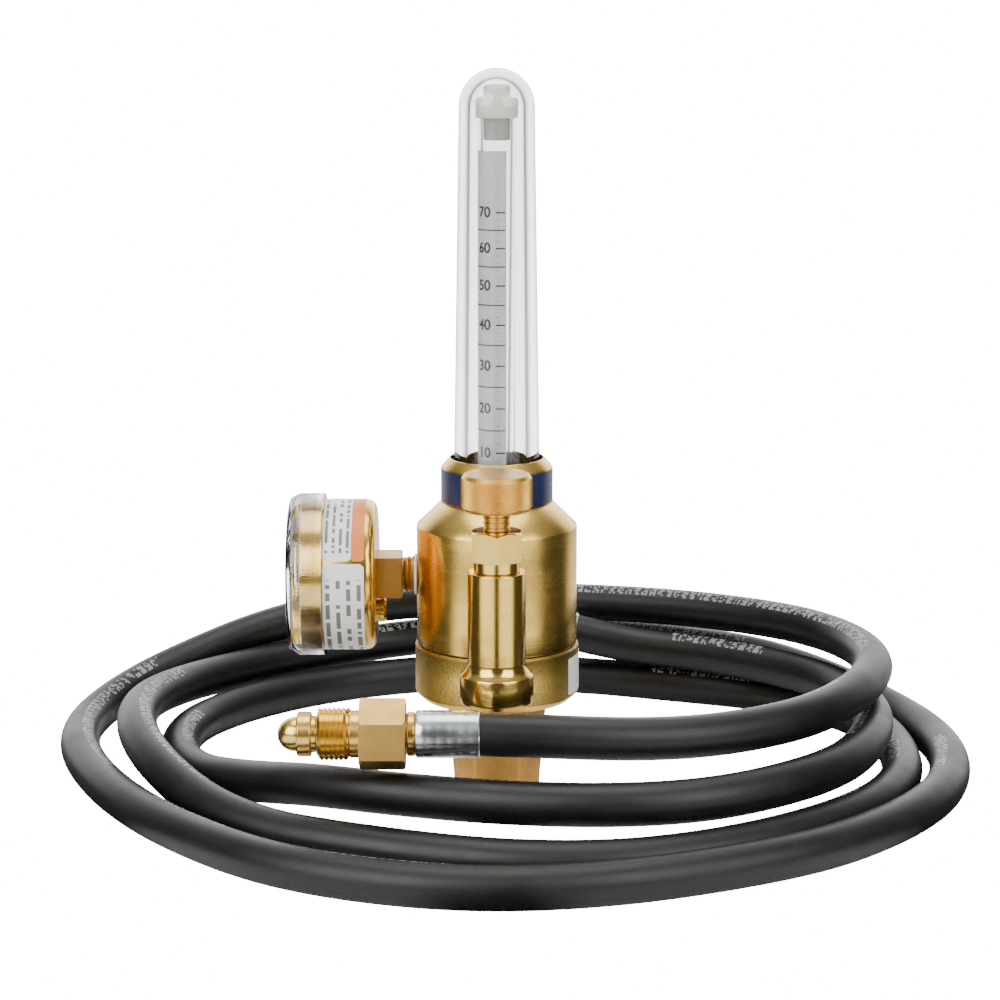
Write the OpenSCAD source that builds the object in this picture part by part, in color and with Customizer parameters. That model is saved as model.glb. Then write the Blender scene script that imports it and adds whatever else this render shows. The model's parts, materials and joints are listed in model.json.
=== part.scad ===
/* [Regulator body] */
// Diameter of the turned body
body_d = 50.8; // [46:0.2:62]
// Height of the straight side of the body
body_h = 38.1; // [34:0.1:48]
// Height of the cone between the side and the neck
cone_h = 7.6; // [5:0.1:10]
// Height of the gauge and inlet ports above the body's lower edge
port_up = 21.8; // [20:0.1:23]
// Bore of the high pressure chamber
chamber_d = 10.4; // [9.5:0.1:11]

/* [Bonnet] */
// Diameter of the bonnet's rim
rim_d = 52; // [47:0.2:64]
// Height of the bonnet's rim
rim_h = 17.7; // [15:0.1:22]
// Width across the flats at the bottom of the hexagonal nub
nub_af = 24; // [22:0.1:29]
// Width across the flats where the nub meets the rim
nub_root_af = 28; // [25:0.1:34]
// Height of the nub below the rim
nub_h = 29.5; // [27:0.1:36]
// Diameter of the pressure spring's coils
spring_d = 15; // [13:0.1:16]

/* [Diaphragm] */
// Diameter of the body's spigot inside the bonnet
spigot_d = 45; // [40:0.1:46]
// Thickness of the diaphragm
diaphragm_t = 1; // [0.8:0.1:1.5]
// Travel of the diaphragm between open and closed
lift = 0.8; // [0.5:0.1:1]

/* [Flow tube] */
// Diameter of the collar that holds the cover tube
collar_d = 35; // [34:0.1:42]
// Height of the collar
collar_h = 14.2; // [12:0.1:17]
// Diameter of the cover tube at its foot
cover_d = 27; // [25:0.1:28]
// Diameter of the cover tube below its dome
cover_top_d = 23.5; // [22.5:0.1:26]
// Wall of the cover tube
cover_wall = 4.1; // [3.4:0.1:4.6]
// Length of the cover tube above its flange
cover_len = 126.7; // [100:0.1:152]
// Outside diameter of the metering tube
meter_d = 11.6; // [10.6:0.1:12.4]
// Diameter of the float ball
float_d = 6.35; // [5:0.05:6.5]
// Height that the float can rise
float_rise = 90; // [60:1:92]

/* [Gauge] */
// Diameter of the gauge case
case_d = 47.6; // [42:0.1:58]
// Depth of the gauge case
case_depth = 22.9; // [22:0.1:27]
// Wall of the gauge case
case_wall = 0.8; // [0.6:0.1:1.2]
// Wall of the clear snap lens
lens_wall = 1.8; // [1.4:0.1:2.4]
// Width of the square wrench block behind the gauge
block_w = 13; // [11:0.1:16]
// Diameter of the gauge's threaded stem
gauge_thread_d = 10.7; // [9.5:0.1:12.5]
// Sweep of the pointer in degrees
pointer_sweep = 270; // [180:10:270]

/* [Outlet valve] */
// Distance from the body's side to the valve's axis
valve_gap = 12.6; // [12.6:0.1:18]
// Diameter of the valve's upright housing
housing_d = 17.7; // [16:0.1:20]
// Diameter of the outlet boss
boss_d = 22.6; // [21:0.1:23.4]
// Bore of the outlet's thread
outlet_d = 14.6; // [13:0.1:15.5]
// Width across the flats of the valve bonnet
valve_af = 15; // [14:0.1:17]
// Diameter of the valve stem
stem_d = 4.9; // [4:0.1:5.4]
// Diameter of the knob
knob_d = 21.8; // [18:0.1:26]
// Height of the knob
knob_h = 11; // [9:0.1:14]
// Rise of the stem in one turn
stem_pitch = 0.907; // [0.7:0.001:1.2]
// Turns of the knob from closed to open
knob_turns = 3; // [2:1:4]

/* [Cylinder inlet] */
// Outside diameter of the inlet nut's thread
inlet_thread_d = 24.5; // [22:0.1:27]
// Width across the flats of the inlet nut
inlet_af = 28.6; // [27:0.1:34]
// Diameter of the inlet nipple's shank
nipple_d = 11.2; // [10:0.1:12.5]
// Length of the nipple's shank outside the body
nipple_len = 24.6; // [24:0.1:32]

/* [Hose] */
// Outside diameter of the hose
hose_d = 13; // [11:0.1:13]
// Bore of the hose
hose_bore = 6.3; // [5:0.1:7]
// Outside diameter of the fitting's thread
fitting_thread_d = 15.88; // [15:0.01:17]
// Width across the flats of the fitting's nut
fitting_af = 19.05; // [18:0.01:20]
// Diameter of the fitting's shank inside its nut
fitting_shank_d = 8.4; // [7.4:0.1:9]
// Diameter of the crimped ferrule
ferrule_d = 14.2; // [14:0.1:15]

/* [Hidden] */
$fn = 96;

brass = "#d9b25a";
brass_dark = "#b98a3a";
steel = "#b8bcc0";
clear = [0.86, 0.88, 0.95, 0.35];
rubber = "#2b2c2f";

seat_gap = 0.05;          // between threaded or pressed pieces that don't move on each other
run_gap = 0.08;           // radial gap of a turning or sliding fit
joint_gap = 0.3;          // between faces of pieces that move past each other
label_t = 0.15;

// Heights of the body's stack, from the surface it stands on
z_rim = nub_h;
z_body = z_rim + rim_h;
z_cone = z_body + body_h;
z_neck = z_cone + cone_h;
z_port = z_body + port_up;
body_r = body_d / 2;
valve_reach = body_r + valve_gap;
rim_r = rim_d / 2;
spigot_r = spigot_d / 2;

// Diaphragm stack, from the spigot's lower face down
spigot_h = 7;
slip_ring_t = 0.6;
plate_r = 12;
plate_t = 1.5;
clamp_w = 5.5;            // width of the clamped ring round the diaphragm
z_spigot = z_body - spigot_h;
z_shelf = z_spigot - slip_ring_t - diaphragm_t;
z_plate = z_shelf + diaphragm_t + seat_gap;
low_r = spigot_r - clamp_w;
low_top = z_body - 0.6;

// Spring column inside the nub
spring_wire = 2.2;
spring_turns = 7;
screw_r = 5;
screw_h = 7.2;
spring_bore_r = spring_d / 2 + 1.1;
wide_floor = z_rim + 2.5;
z_seat_top = screw_h + 1.6;
button_t = 2.2;
z_button = z_shelf - seat_gap - button_t;

// Nozzle and poppet on the body's axis
nozzle_r = 6.5;
nozzle_flange_t = 1.7;
nozzle_h = 10;
orifice_r = 1.35;
lip_h = 0.8;
z_nozzle = low_top - nozzle_flange_t;
z_lip = low_top + nozzle_h + lip_h;
seat_disc_t = 0.8;
z_disc = z_lip + lift;
head_t = 2.5;
pin_r = 0.95;
guide_r = 1.8;
chamber_r = chamber_d / 2;
z_chamber = z_port + 5.8;
z_pin = z_nozzle - 1;
poppet_spring_wire = 0.7;

// Gas passages
low_passage_r = 1.6;
low_passage_x = 12.5;
z_cross = z_chamber + 9;
return_r = 1.2;
return_y = (meter_d / 2 + cover_bore_r(0)) / 2;
port_floor = 10.4;        // depth of the threaded ports

// Neck, collar and tubes
neck_d = collar_d - 3.5;
neck_h = 5.4;
z_seat = z_neck + neck_h;
flange_h = 2.8;
z_flange = z_seat + 0.2;
z_cover = z_flange + flange_h;
dome_r = cover_top_d / 2;
z_dome = z_cover + cover_len - dome_r;
collar_cham = 2.8;
gasket_t = 0.8;
z_gasket = z_neck + 0.6;
z_meter = z_gasket + gasket_t + seat_gap;
plug_disc_h = 6.2;
plug_button_h = 3.6;
plug_stem_h = 6.8;
z_plug = z_dome - 3.4;
meter_bore_low = float_d / 2 + 0.22;
meter_bore_top = float_d / 2 + 1.3;
z_stop = z_cover + 1.9;
z_float = z_stop + 1 + float_d / 2 + seat_gap;
strip_from = 180;
strip_sweep = 118;

// Gauge, measured outwards from the side of the body along its axis
block_from = 4.6;
block_len = 8;
case_back = block_from + block_len;
case_r = case_d / 2;
case_front = case_back + case_depth;
lens_r = case_r + 0.15 + lens_wall;
lens_face = case_front + 4.6;
lens_skirt = 11.2;
dial_at = case_front - 3.5;
bourdon_r = case_r - 6.3;
bourdon_t = 2.2;
bourdon_w = 7;
bourdon_at = case_back + 3.4;
bourdon_sweep = 250;
plate_back_at = case_back + 9;
plate_front_at = case_back + 15.4;
gear_m = 0.4;
pinion_teeth = 10;
sector_ratio = 6;
pinion_r = gear_m * pinion_teeth / 2;
sector_r = pinion_r * sector_ratio;
sector_side = 130;        // direction of the sector's pivot round the gauge axis
sector_at = plate_back_at + 3;
sector_t = 1.8;
tooth_half = 0.245;
arbor_r = 0.8;
zero_angle = 135;         // direction of the pointer at zero

// Outlet valve
z_valve_port = z_port - 7;
z_boss = z_valve_port - 25.2;
boss_h = 9.7;
shoulder_h = 3.5;
z_housing_top = z_valve_port + 16.5;
z_valve_hex = z_housing_top + 3.5;
valve_hex_h = 9;
z_valve_top = z_valve_hex + valve_hex_h;
outlet_depth = 10.5;
needle_r = 3.4;
z_needle_seat = z_valve_port - 4;
valve_thread_r = 5.9;
valve_stub_r = 5.05;
neck_gap = joint_gap;
knob_neck_r = 4.1;
knob_neck_h = 6.2;
z_knob = z_valve_top + neck_gap + knob_neck_h;
stem_r = stem_d / 2;
packing_w = 1.6;

// Cylinder inlet, measured outwards from the side of the body along its axis
inlet_port_r = 6.5;
inlet_shoulder_r = 9.2;
inlet_shoulder_h = 5.2;
inlet_nose_h = 7.4;
inlet_nut_from = 5.6;
inlet_hex_h = 10.2;
inlet_nut_len = nipple_len + inlet_shoulder_h - inlet_nut_from;
inlet_bore_r = nipple_d / 2 + run_gap;

// Hose fitting, measured from the end of the hose outwards
ferrule_h = 19;
fit_collar_h = 2.5;
fit_hex_h = 13.7;
fit_relief_h = 2.5;
fit_thread_h = 10;
fit_neck_h = 1.4;
fit_head_h = 4.3;
fit_nose_h = 5.8;
fit_nut_from = ferrule_h + fit_collar_h + joint_gap;
fit_nut_h = fit_hex_h + fit_relief_h + fit_thread_h;
fit_head_from = fit_nut_from + fit_nut_h + joint_gap;
fit_collar_r = 6.6;
fit_head_r = 6.6;
fit_nose_r = 5.2;

// Where the open end of each ferrule lies; both fittings point to -X from there, the rear one tilted up
front_end = [-5, -69, 36.2];
rear_end = [27, 102.5, 24.5];
rear_tilt = 20;

// The hose's route between its ferrules, in millimetres: four times round the regulator
ROUTE = [
    [-5, -69, 36.2], [20, -69, 35.2], [44, -65, 33.5], [68, -56, 32.5], [92, -40, 32.5], [108, -20, 33],
    [119, 4, 33], [124, 28, 33], [120, 54, 33], [106, 78, 33], [84, 97, 32.5], [58, 111, 32],
    [28, 120, 31.5], [0, 124, 31.5], [-28, 122, 31.5], [-56, 115, 30], [-83, 105, 25.5], [-108, 92, 18],
    [-127, 76, 11.5], [-138, 52, 7.2], [-138, 24, 6.5], [-130, -6, 6.5], [-115, -39, 6.5],
    [-95, -69, 6.5], [-67, -98, 6.5], [-34, -115, 6.5], [0, -121, 6.5], [34, -116, 6.5],
    [67, -103, 6.5], [97, -85, 6.5], [121, -60, 6.5], [138, -32, 6.5], [146, 0, 6.5], [145, 32, 6.5],
    [136, 62, 7], [118, 86, 11], [94, 101, 16], [66, 112, 18], [36, 124, 18], [4, 131, 18],
    [-30, 123, 17.5], [-60, 110, 16], [-88, 89, 15], [-108, 62, 16], [-117, 32, 18], [-116, 2, 18],
    [-106, -27, 15], [-88, -53, 9.5], [-65, -71, 6.5], [-34, -86, 6.5], [0, -97, 6.5], [34, -98, 6.5],
    [65, -87, 6.5], [93, -68, 6.5], [115, -44, 6.5], [128, -16, 6.5], [131, 14, 6.5], [127, 44, 6.5],
    [113, 69, 6.5], [92, 87, 6.5], [64, 98, 6.5], [34, 109, 6.5], [2, 114, 6.5], [-32, 110, 6.5],
    [-62, 95, 6.5], [-86, 73, 6.5], [-102, 45, 6.5], [-104, 14, 6.5], [-94, -14, 7.5], [-76, -34, 11],
    [-56, -54, 16], [-32, -69, 18], [-2, -79, 18.5], [30, -84, 19], [60, -79, 19], [86, -63, 19],
    [107, -40, 19], [119, -10, 19.5], [122, 20, 19.5], [115, 48, 19.5], [101, 68, 19.5], [84, 82.5, 19.8],
    [66, 94, 19.6], [46.5, 101, 20.5], [27, 102.5, 24.5]];
HOSE_SIDES = 8;
hose_in = 17.7;           // length of the hose inside each ferrule
HOSE_PATH = concat([front_end - [hose_in, 0, 0]], ROUTE,
    [rear_end + hose_in * [-cos(rear_tilt), 0, sin(rear_tilt)]]);

function cover_bore_r(up) = cover_d / 2 - cover_wall
    - (cover_d - cover_top_d) / 2 * up / (cover_len - cover_top_d / 2) * 0.63;

// ---- shared shapes ----

module ring(r_out, r_in, h) {
    difference() {
        cylinder(r = r_out, h = h);
        translate([0, 0, -1]) cylinder(r = r_in, h = h + 2);
    }
}

// A solid turned from a profile of [radius, height] points
module turned(profile) {
    rotate_extrude() polygon(profile);
}

// A hexagonal bar with its corners turned down by a chamfer at one or both ends
module hex_bar(af, h, low_cham = 0.9, top_cham = 0.9) {
    corner_r = af / sqrt(3);
    intersection() {
        cylinder(r = corner_r, h = h, $fn = 6);
        turned([[0, 0], [corner_r - low_cham, 0], [corner_r + 0.01, low_cham * 0.58],
            [corner_r + 0.01, h - top_cham * 0.58], [corner_r - top_cham, h], [0, h]]);
    }
}

// A closed coil of wire standing on z = 0, with a tube swept round a helix
module coil_spring(mean_r, wire, h, turns, sides = 6, steps = 14) {
    rings = turns * steps;
    rise = h - wire;
    pts = [for (i = [0 : rings]) for (k = [0 : sides - 1])
        let (a = 360 * i / steps, b = 360 * k / sides, r = mean_r + wire / 2 * cos(b))
        [r * cos(a), r * sin(a), wire / 2 + rise * i / rings + wire / 2 * sin(b)]];
    walls = [for (i = [0 : rings - 1]) for (k = [0 : sides - 1])
        let (a = i * sides + k, b = i * sides + (k + 1) % sides)
        [a, a + sides, b + sides, b]];
    ends = [[for (k = [0 : sides - 1]) k], [for (k = [sides - 1 : -1 : 0]) rings * sides + k]];
    polyhedron(pts, concat(walls, ends), convexity = 10);
}

module gauge_place() {
    translate([-body_r, 0, z_port]) rotate([0, -90, 0]) children();
}

module inlet_place() {
    translate([0, body_r, z_port]) rotate([-90, 0, 0]) children();
}

module valve_place() {
    translate([0, -valve_reach, 0]) children();
}

module front_fitting_place() {
    translate(front_end) rotate([0, -90, 0]) children();
}

module rear_fitting_place() {
    translate(rear_end) rotate([0, rear_tilt - 90, 0]) children();
}

// A thin label that follows a cylinder between two angles
module curved_label(r, h, from, sweep) {
    rotate([0, 0, from]) rotate_extrude(angle = sweep) translate([r, 0]) square([label_t, h]);
}

// ---- bonnet and its spring ----

module nub() {
    low_r = nub_af / sqrt(3);
    top_r = nub_root_af / sqrt(3);
    intersection() {
        polyhedron(concat(
            [for (k = [0 : 5]) [low_r * cos(60 * k), low_r * sin(60 * k), 0]],
            [for (k = [0 : 5]) [top_r * cos(60 * k), top_r * sin(60 * k), nub_h + 1]]),
            concat([[0, 1, 2, 3, 4, 5], [11, 10, 9, 8, 7, 6]],
            [for (k = [0 : 5]) [k, k + 6, (k + 1) % 6 + 6, (k + 1) % 6]]));
        turned([[0, 0], [low_r - 1.6, 0], [low_r, 2.4], [top_r + 1, nub_h], [0, nub_h + 2]]);
    }
}

module bonnet() {
    cham = 2.3;
    color(brass_dark) difference() {
        union() {
            nub();
            translate([0, 0, z_rim]) turned([[0, 0], [rim_r - cham, 0], [rim_r, cham],
                [rim_r, rim_h - 0.4], [rim_r - 0.4, rim_h], [0, rim_h]]);
        }
        translate([0, 0, z_shelf]) cylinder(r = spigot_r + seat_gap, h = rim_h + nub_h);
        translate([0, 0, wide_floor]) cylinder(r = low_r, h = rim_h);
        translate([0, 0, screw_h]) cylinder(r = spring_bore_r, h = nub_h);
        translate([0, 0, -1]) cylinder(r = screw_r + seat_gap, h = screw_h + 2);
    }
}

module rim_label() {
    color("white") translate([0, 0, z_rim + 3]) curved_label(rim_r + 0.02, rim_h - 5.5, 330, 40);
}

// Factory-set screw, flush with the foot, turned by a spanner with two pins
module preset_screw() {
    color(brass) difference() {
        turned([[0, 0], [screw_r - 0.3, 0], [screw_r, 0.3], [screw_r, screw_h - seat_gap], [0, screw_h - seat_gap]]);
        for (x = [-3.2, 3.2]) translate([x, 0, -1]) cylinder(r = 0.8, h = 3.5);
    }
}

module spring_seat() {
    color(steel) translate([0, 0, screw_h]) difference() {
        turned([[0, 0], [spring_bore_r - 0.3, 0], [spring_bore_r - 0.3, 1.5], [0, 1.5]]);
        translate([0, 0, -1]) cylinder(r = 1.2, h = 4);
    }
}

module pressure_spring() {
    color(steel) translate([0, 0, z_seat_top - 0.05])
        coil_spring((spring_d - spring_wire) / 2, spring_wire, z_button - z_seat_top, spring_turns);
}

module spring_button() {
    boss_r = spring_d / 2 - spring_wire - 0.4;
    color(brass) translate([0, 0, z_button]) union() {
        cylinder(r = spring_d / 2 + 0.8, h = button_t);
        translate([0, 0, -2.6]) cylinder(r = boss_r, h = 2.6);
    }
}

module diaphragm() {
    color(rubber) translate([0, 0, z_shelf]) cylinder(r = spigot_r - 0.2, h = diaphragm_t);
}

module slip_ring() {
    color(steel) translate([0, 0, z_shelf + diaphragm_t]) ring(spigot_r - 0.2, low_r, slip_ring_t);
}

module diaphragm_plate() {
    color(brass) translate([0, 0, z_plate]) union() {
        cylinder(r = plate_r, h = plate_t);
        cylinder(r = 3.5, h = z_pin - 0.05 - z_plate);
    }
}

// ---- body ----

module body_outline() {
    turned([[0, z_spigot], [spigot_r, z_spigot], [spigot_r, z_body], [body_r, z_body], [body_r, z_cone],
        [collar_d / 2, z_neck], [neck_d / 2, z_neck], [neck_d / 2, z_seat], [0, z_seat]]);
}

module low_side_cuts() {
    translate([0, 0, z_spigot - 1]) cylinder(r = low_r, h = low_top - z_spigot + 1);
    translate([0, 0, low_top - 1]) cylinder(r = nozzle_r + seat_gap, h = nozzle_h + 1);
    translate([low_passage_x, 0, low_top - 1]) cylinder(r = low_passage_r, h = z_cross - low_top + 1);
    translate([0, 0, z_cross]) rotate([0, 90, 0]) cylinder(r = low_passage_r, h = low_passage_x);
    translate([0, 0, z_cross]) cylinder(r = 2, h = z_seat - z_cross + 1);
}

module high_side_cuts() {
    translate([0, 0, low_top + nozzle_h - 1]) cylinder(r = chamber_r, h = z_chamber - low_top - nozzle_h - 3);
    translate([0, 0, z_chamber - 5]) cylinder(r = guide_r + run_gap, h = 5);
    gauge_place() {
        translate([0, 0, -port_floor]) cylinder(r = gauge_thread_d / 2 + seat_gap, h = port_floor + 2);
        translate([0, 0, -body_r]) cylinder(r = 1.5, h = body_r);
    }
    inlet_place() {
        translate([0, 0, -port_floor - 1.6]) cylinder(r = inlet_port_r + seat_gap, h = port_floor + 4);
        translate([0, 0, -body_r]) cylinder(r = 1.5, h = body_r);
    }
}

module return_cuts() {
    translate([0, -return_y, z_valve_port]) cylinder(r = return_r, h = z_seat);
    translate([0, -return_y, z_valve_port]) rotate([90, 0, 0]) cylinder(r = return_r, h = body_r);
    translate([0, -body_r + port_floor, z_valve_port]) rotate([90, 0, 0])
        cylinder(r = valve_stub_r + seat_gap, h = port_floor + 2);
}

module neck_cuts() {
    translate([0, 0, z_gasket]) cylinder(r = meter_d / 2 + 0.1, h = neck_h + 1);
    translate([0, 0, z_seat - 1.4]) ring((neck_d + cover_d) / 4 - 1.35, (neck_d + cover_d) / 4 - 3.45, 2);
}

module regulator_body() {
    color(brass) difference() {
        body_outline();
        low_side_cuts();
        high_side_cuts();
        return_cuts();
        neck_cuts();
    }
}

module nozzle() {
    color(brass) translate([0, 0, z_nozzle]) difference() {
        union() {
            cylinder(r = 8, h = nozzle_flange_t, $fn = 6);
            cylinder(r = nozzle_r, h = nozzle_flange_t + nozzle_h - seat_gap);
            cylinder(r = 2.4, h = nozzle_flange_t + nozzle_h + lip_h);
        }
        translate([0, 0, -1]) cylinder(r = orifice_r, h = nozzle_h + 6);
    }
}

module poppet() {
    color(steel) union() {
        translate([0, 0, z_pin]) cylinder(r = pin_r, h = z_disc + seat_disc_t - z_pin);
        translate([0, 0, z_disc + seat_disc_t]) cylinder(r = chamber_r - 1, h = head_t);
        translate([0, 0, z_disc + seat_disc_t]) cylinder(r = guide_r, h = z_chamber - 1.8 - z_disc - seat_disc_t);
    }
}

module poppet_seat() {
    color("white") translate([0, 0, z_disc]) ring(chamber_r - 1.8, pin_r, seat_disc_t);
}

module poppet_spring() {
    base = z_disc + seat_disc_t + head_t;
    color(steel) translate([0, 0, base])
        coil_spring(3, poppet_spring_wire, z_chamber - 5 - base, 6, 6, 12);
}

// ---- flow tube ----

module tube_collar() {
    r = collar_d / 2;
    hole_r = cover_d / 2 + 1.15;
    color(brass) translate([0, 0, z_neck]) difference() {
        turned([[0, 0], [r, 0], [r, collar_h - collar_cham], [r - collar_cham, collar_h], [0, collar_h]]);
        translate([0, 0, -1]) cylinder(r = hole_r, h = collar_h + 2);
        translate([0, 0, -1]) cylinder(r = neck_d / 2 + seat_gap, h = z_cover + 0.1 - z_neck + 1);
    }
}

module collar_band() {
    h = collar_h - collar_cham - 0.8;
    color("#1d2f66") translate([0, 0, z_neck + 0.4]) ring(collar_d / 2 + 0.02 + label_t, collar_d / 2 + 0.02, h);
}

module cover_oring() {
    color(rubber) translate([0, 0, z_seat - 0.6]) rotate_extrude()
        translate([(neck_d + cover_d) / 4 - 2.4, 0]) circle(r = 0.75, $fn = 32);
}

module cover_tube() {
    foot_r = cover_d / 2;
    bore_r = cover_bore_r(0);
    bore_top = cover_bore_r(z_dome - z_cover);
    color(clear) difference() {
        union() {
            translate([0, 0, z_flange]) cylinder(r = neck_d / 2 - 0.1, h = flange_h);
            translate([0, 0, z_cover - 0.1]) cylinder(r1 = foot_r, r2 = dome_r, h = z_dome - z_cover + 0.1);
            translate([0, 0, z_dome]) sphere(r = dome_r);
        }
        translate([0, 0, z_flange - 1]) cylinder(r = bore_r, h = z_cover - z_flange + 1.001);
        translate([0, 0, z_cover]) cylinder(r1 = bore_r, r2 = bore_top, h = z_dome - z_cover);
        translate([0, 0, z_dome]) sphere(r = bore_top);
    }
}

module tube_gasket() {
    color(rubber) translate([0, 0, z_gasket]) ring(meter_d / 2 - 0.1, 2.2, gasket_t);
}

module metering_tube() {
    color(clear) translate([0, 0, z_meter]) difference() {
        cylinder(d = meter_d, h = z_plug - z_meter - seat_gap);
        translate([0, 0, -0.01])
            cylinder(r1 = meter_bore_low, r2 = meter_bore_top, h = z_plug - z_meter + 0.1);
    }
}

// Clear ring round the metering tube's foot, arched so that gas can pass under it
module tube_foot() {
    r_out = cover_bore_r(0) - 0.15;
    color(clear) translate([0, 0, z_seat + 0.1]) difference() {
        turned([[meter_d / 2 + 0.08, 0], [r_out, 0], [r_out, 1.2], [meter_d / 2 + 1, 4.2], [meter_d / 2 + 0.08, 4.2]]);
        for (a = [0 : 90 : 270]) rotate([0, 0, a]) translate([0, 0, -0.01]) rotate([0, 90, 0])
            cylinder(r = 1.5, h = 20);
    }
}

module float_stop() {
    color(steel) translate([0, 0, z_stop]) difference() {
        cylinder(r = meter_bore_low + 0.05, h = 1);
        for (a = [0 : 120 : 240]) rotate([0, 0, a]) translate([1.8, 0, -1]) cylinder(r = 0.9, h = 3);
    }
}

module float_ball() {
    color("#303236") translate([0, 0, z_float]) sphere(d = float_d);
}

module scale_strip() {
    color([0.95, 0.95, 0.95, 0.6]) translate([0, 0, z_cover + 3])
        curved_label(meter_d / 2 + 0.02, z_plug - plug_stem_h - 6 - z_cover, strip_from, strip_sweep);
}

module tube_plug() {
    button_r = meter_d / 2 - 1.6;
    stem_r = meter_bore_top - 0.25;
    color("#f1efe2") difference() {
        union() {
            translate([0, 0, z_plug]) turned([[0, 0], [meter_d / 2 + 0.8, 0], [meter_d / 2 + 0.8, plug_disc_h - 1],
                [meter_d / 2 - 0.2, plug_disc_h], [0, plug_disc_h]]);
            translate([0, 0, z_plug + plug_disc_h - 0.1]) cylinder(r = button_r, h = plug_button_h + 0.1);
            translate([0, 0, z_plug - plug_stem_h]) cylinder(r = stem_r, h = plug_stem_h + 0.1);
        }
        translate([0, 0, z_plug - plug_stem_h - 1]) cylinder(r = stem_r - 1.2, h = plug_stem_h + 4);
        for (a = [0 : 60 : 300]) rotate([0, 0, a]) translate([meter_d / 2 + 0.9, 0, z_plug - 1])
            cylinder(r = 0.7, h = plug_disc_h + 2);
        for (a = [30, 150, 270]) rotate([0, 0, a]) translate([0, 0, z_plug + 1.4]) rotate([0, 90, 0])
            cylinder(r = 0.8, h = meter_d);
    }
}

// ---- pressure gauge ----

module gauge_socket() {
    color(brass_dark) gauge_place() difference() {
        union() {
            translate([0, 0, -port_floor + 0.4]) cylinder(d = gauge_thread_d, h = port_floor + block_from);
            translate([-block_w / 2, -block_w / 2, block_from]) cube([block_w, block_w, block_len]);
            translate([0, 0, case_back - 1]) cylinder(r = 4.9, h = 3);
            translate([0, 0, case_back + case_wall + 0.6]) cylinder(r = 9.5, h = 5.8);
            translate([-bourdon_r, -4, case_back + case_wall + 0.6]) cube([bourdon_r + 4, 8, 6]);
            translate([-bourdon_r - 2.6, -4, case_back + case_wall + 0.6]) cube([5.6, 8, bourdon_w + 3]);
        }
        translate([0, 0, -port_floor - 1]) cylinder(r = 1.5, h = case_back + port_floor + 4);
        bourdon_shape(0.02);
    }
}

// The curved pressure element, open at both ends of its sweep
module bourdon_shape(grow = 0) {
    translate([0, 0, bourdon_at - grow]) rotate([0, 0, 180]) rotate_extrude(angle = bourdon_sweep)
        translate([bourdon_r - bourdon_t / 2 - grow, 0]) square([bourdon_t + 2 * grow, bourdon_w + 2 * grow]);
}

module bourdon_tube() {
    tip = 180 + bourdon_sweep;
    color("#c9a86a") gauge_place() union() {
        bourdon_shape();
        rotate([0, 0, tip]) translate([bourdon_r - 1.6, -0.1, bourdon_at + 1]) cube([3.2, 3, bourdon_w + 1.6]);
    }
}

module gauge_case() {
    r = case_r;
    fillet = 3;
    color(brass) gauge_place() difference() {
        translate([0, 0, case_back]) turned([[0, 0], [r - fillet, 0],
            for (a = [-75 : 15 : -15]) [r - fillet + fillet * cos(a), fillet + fillet * sin(a)],
            [r, fillet], [r, case_depth], [0, case_depth]]);
        translate([0, 0, case_back + case_wall]) turned([[0, 0], [r - fillet, 0],
            for (a = [-75 : 15 : -15]) [r - fillet + (fillet - case_wall) * cos(a),
                fillet - case_wall + (fillet - case_wall) * sin(a)],
            [r - case_wall, fillet - case_wall], [r - case_wall, case_depth], [0, case_depth]]);
        translate([0, 0, case_back - 1]) cylinder(r = 4.95, h = 4);
        translate([-11.7, 0, case_back - 1]) cylinder(r = 2.55, h = 4);
    }
}

module gauge_vent_plug() {
    color(brass) gauge_place() translate([-11.7, 0, case_back]) union() {
        translate([0, 0, -2.8]) turned([[0, 0], [3.2, 0], [3.85, 0.7], [3.85, 2.8], [0, 2.8]]);
        cylinder(r = 2.5, h = case_wall + 0.3);
    }
}

module gauge_label() {
    color("white") gauge_place() {
        translate([0, 0, case_back + 7.1]) curved_label(case_r + 0.02, 8.9, 292, 78);
        translate([0, 0, case_back + 2.6 + fillet_room()]) curved_label(case_r + 0.02, 13.4 - fillet_room(), 170, 120.5);
    }
}

function fillet_room() = 0.5;

module gauge_label_flash() {
    color("#e06a25") gauge_place() translate([0, 0, case_back + 3.1]) curved_label(case_r + 0.02, 3.9, 292, 78);
}

module tooth(root, tip) {
    polygon([[root - 0.4, -tooth_half - 0.1], [root, -tooth_half - 0.06], [tip - 0.1, -0.13], [tip, -0.09],
        [tip, 0.09], [tip - 0.1, 0.13], [root, tooth_half + 0.06], [root - 0.4, tooth_half + 0.1]]);
}

// Two plates that carry the arbors, with a pillar between them and two posts for the dial
module movement_plates() {
    pivot = sector_r + pinion_r;
    tail = sector_side + 180;
    color(brass) gauge_place() difference() {
        union() {
            translate([0, 0, plate_back_at]) hull() {
                plate_end(4.5, 0, 0);
                plate_end(2.6, sector_side, pivot);
                plate_end(2.6, tail, 7.5);
            }
            translate([0, 0, plate_front_at]) hull() {
                plate_end(2.6, sector_side, pivot);
                plate_end(2.6, tail, 7.5);
                plate_end(2.4, 90, 8);
                plate_end(2.4, 270, 8);
            }
            rotate([0, 0, tail]) translate([7.5, 0, plate_back_at - 1.7])
                cylinder(r = 1.7, h = plate_front_at - plate_back_at + 2);
            for (a = [90, 270]) rotate([0, 0, a]) translate([8, 0, plate_front_at])
                cylinder(r = 1.7, h = dial_at - seat_gap - plate_front_at);
        }
        translate([0, 0, plate_back_at - 3]) cylinder(r = arbor_r + run_gap, h = 20);
        rotate([0, 0, sector_side]) translate([pivot, 0, plate_back_at - 3]) cylinder(r = arbor_r + run_gap, h = 20);
        for (a = [90, 270]) rotate([0, 0, a]) translate([8, 0, dial_at - 3]) cylinder(r = 0.85, h = 4);
    }
}

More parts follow.
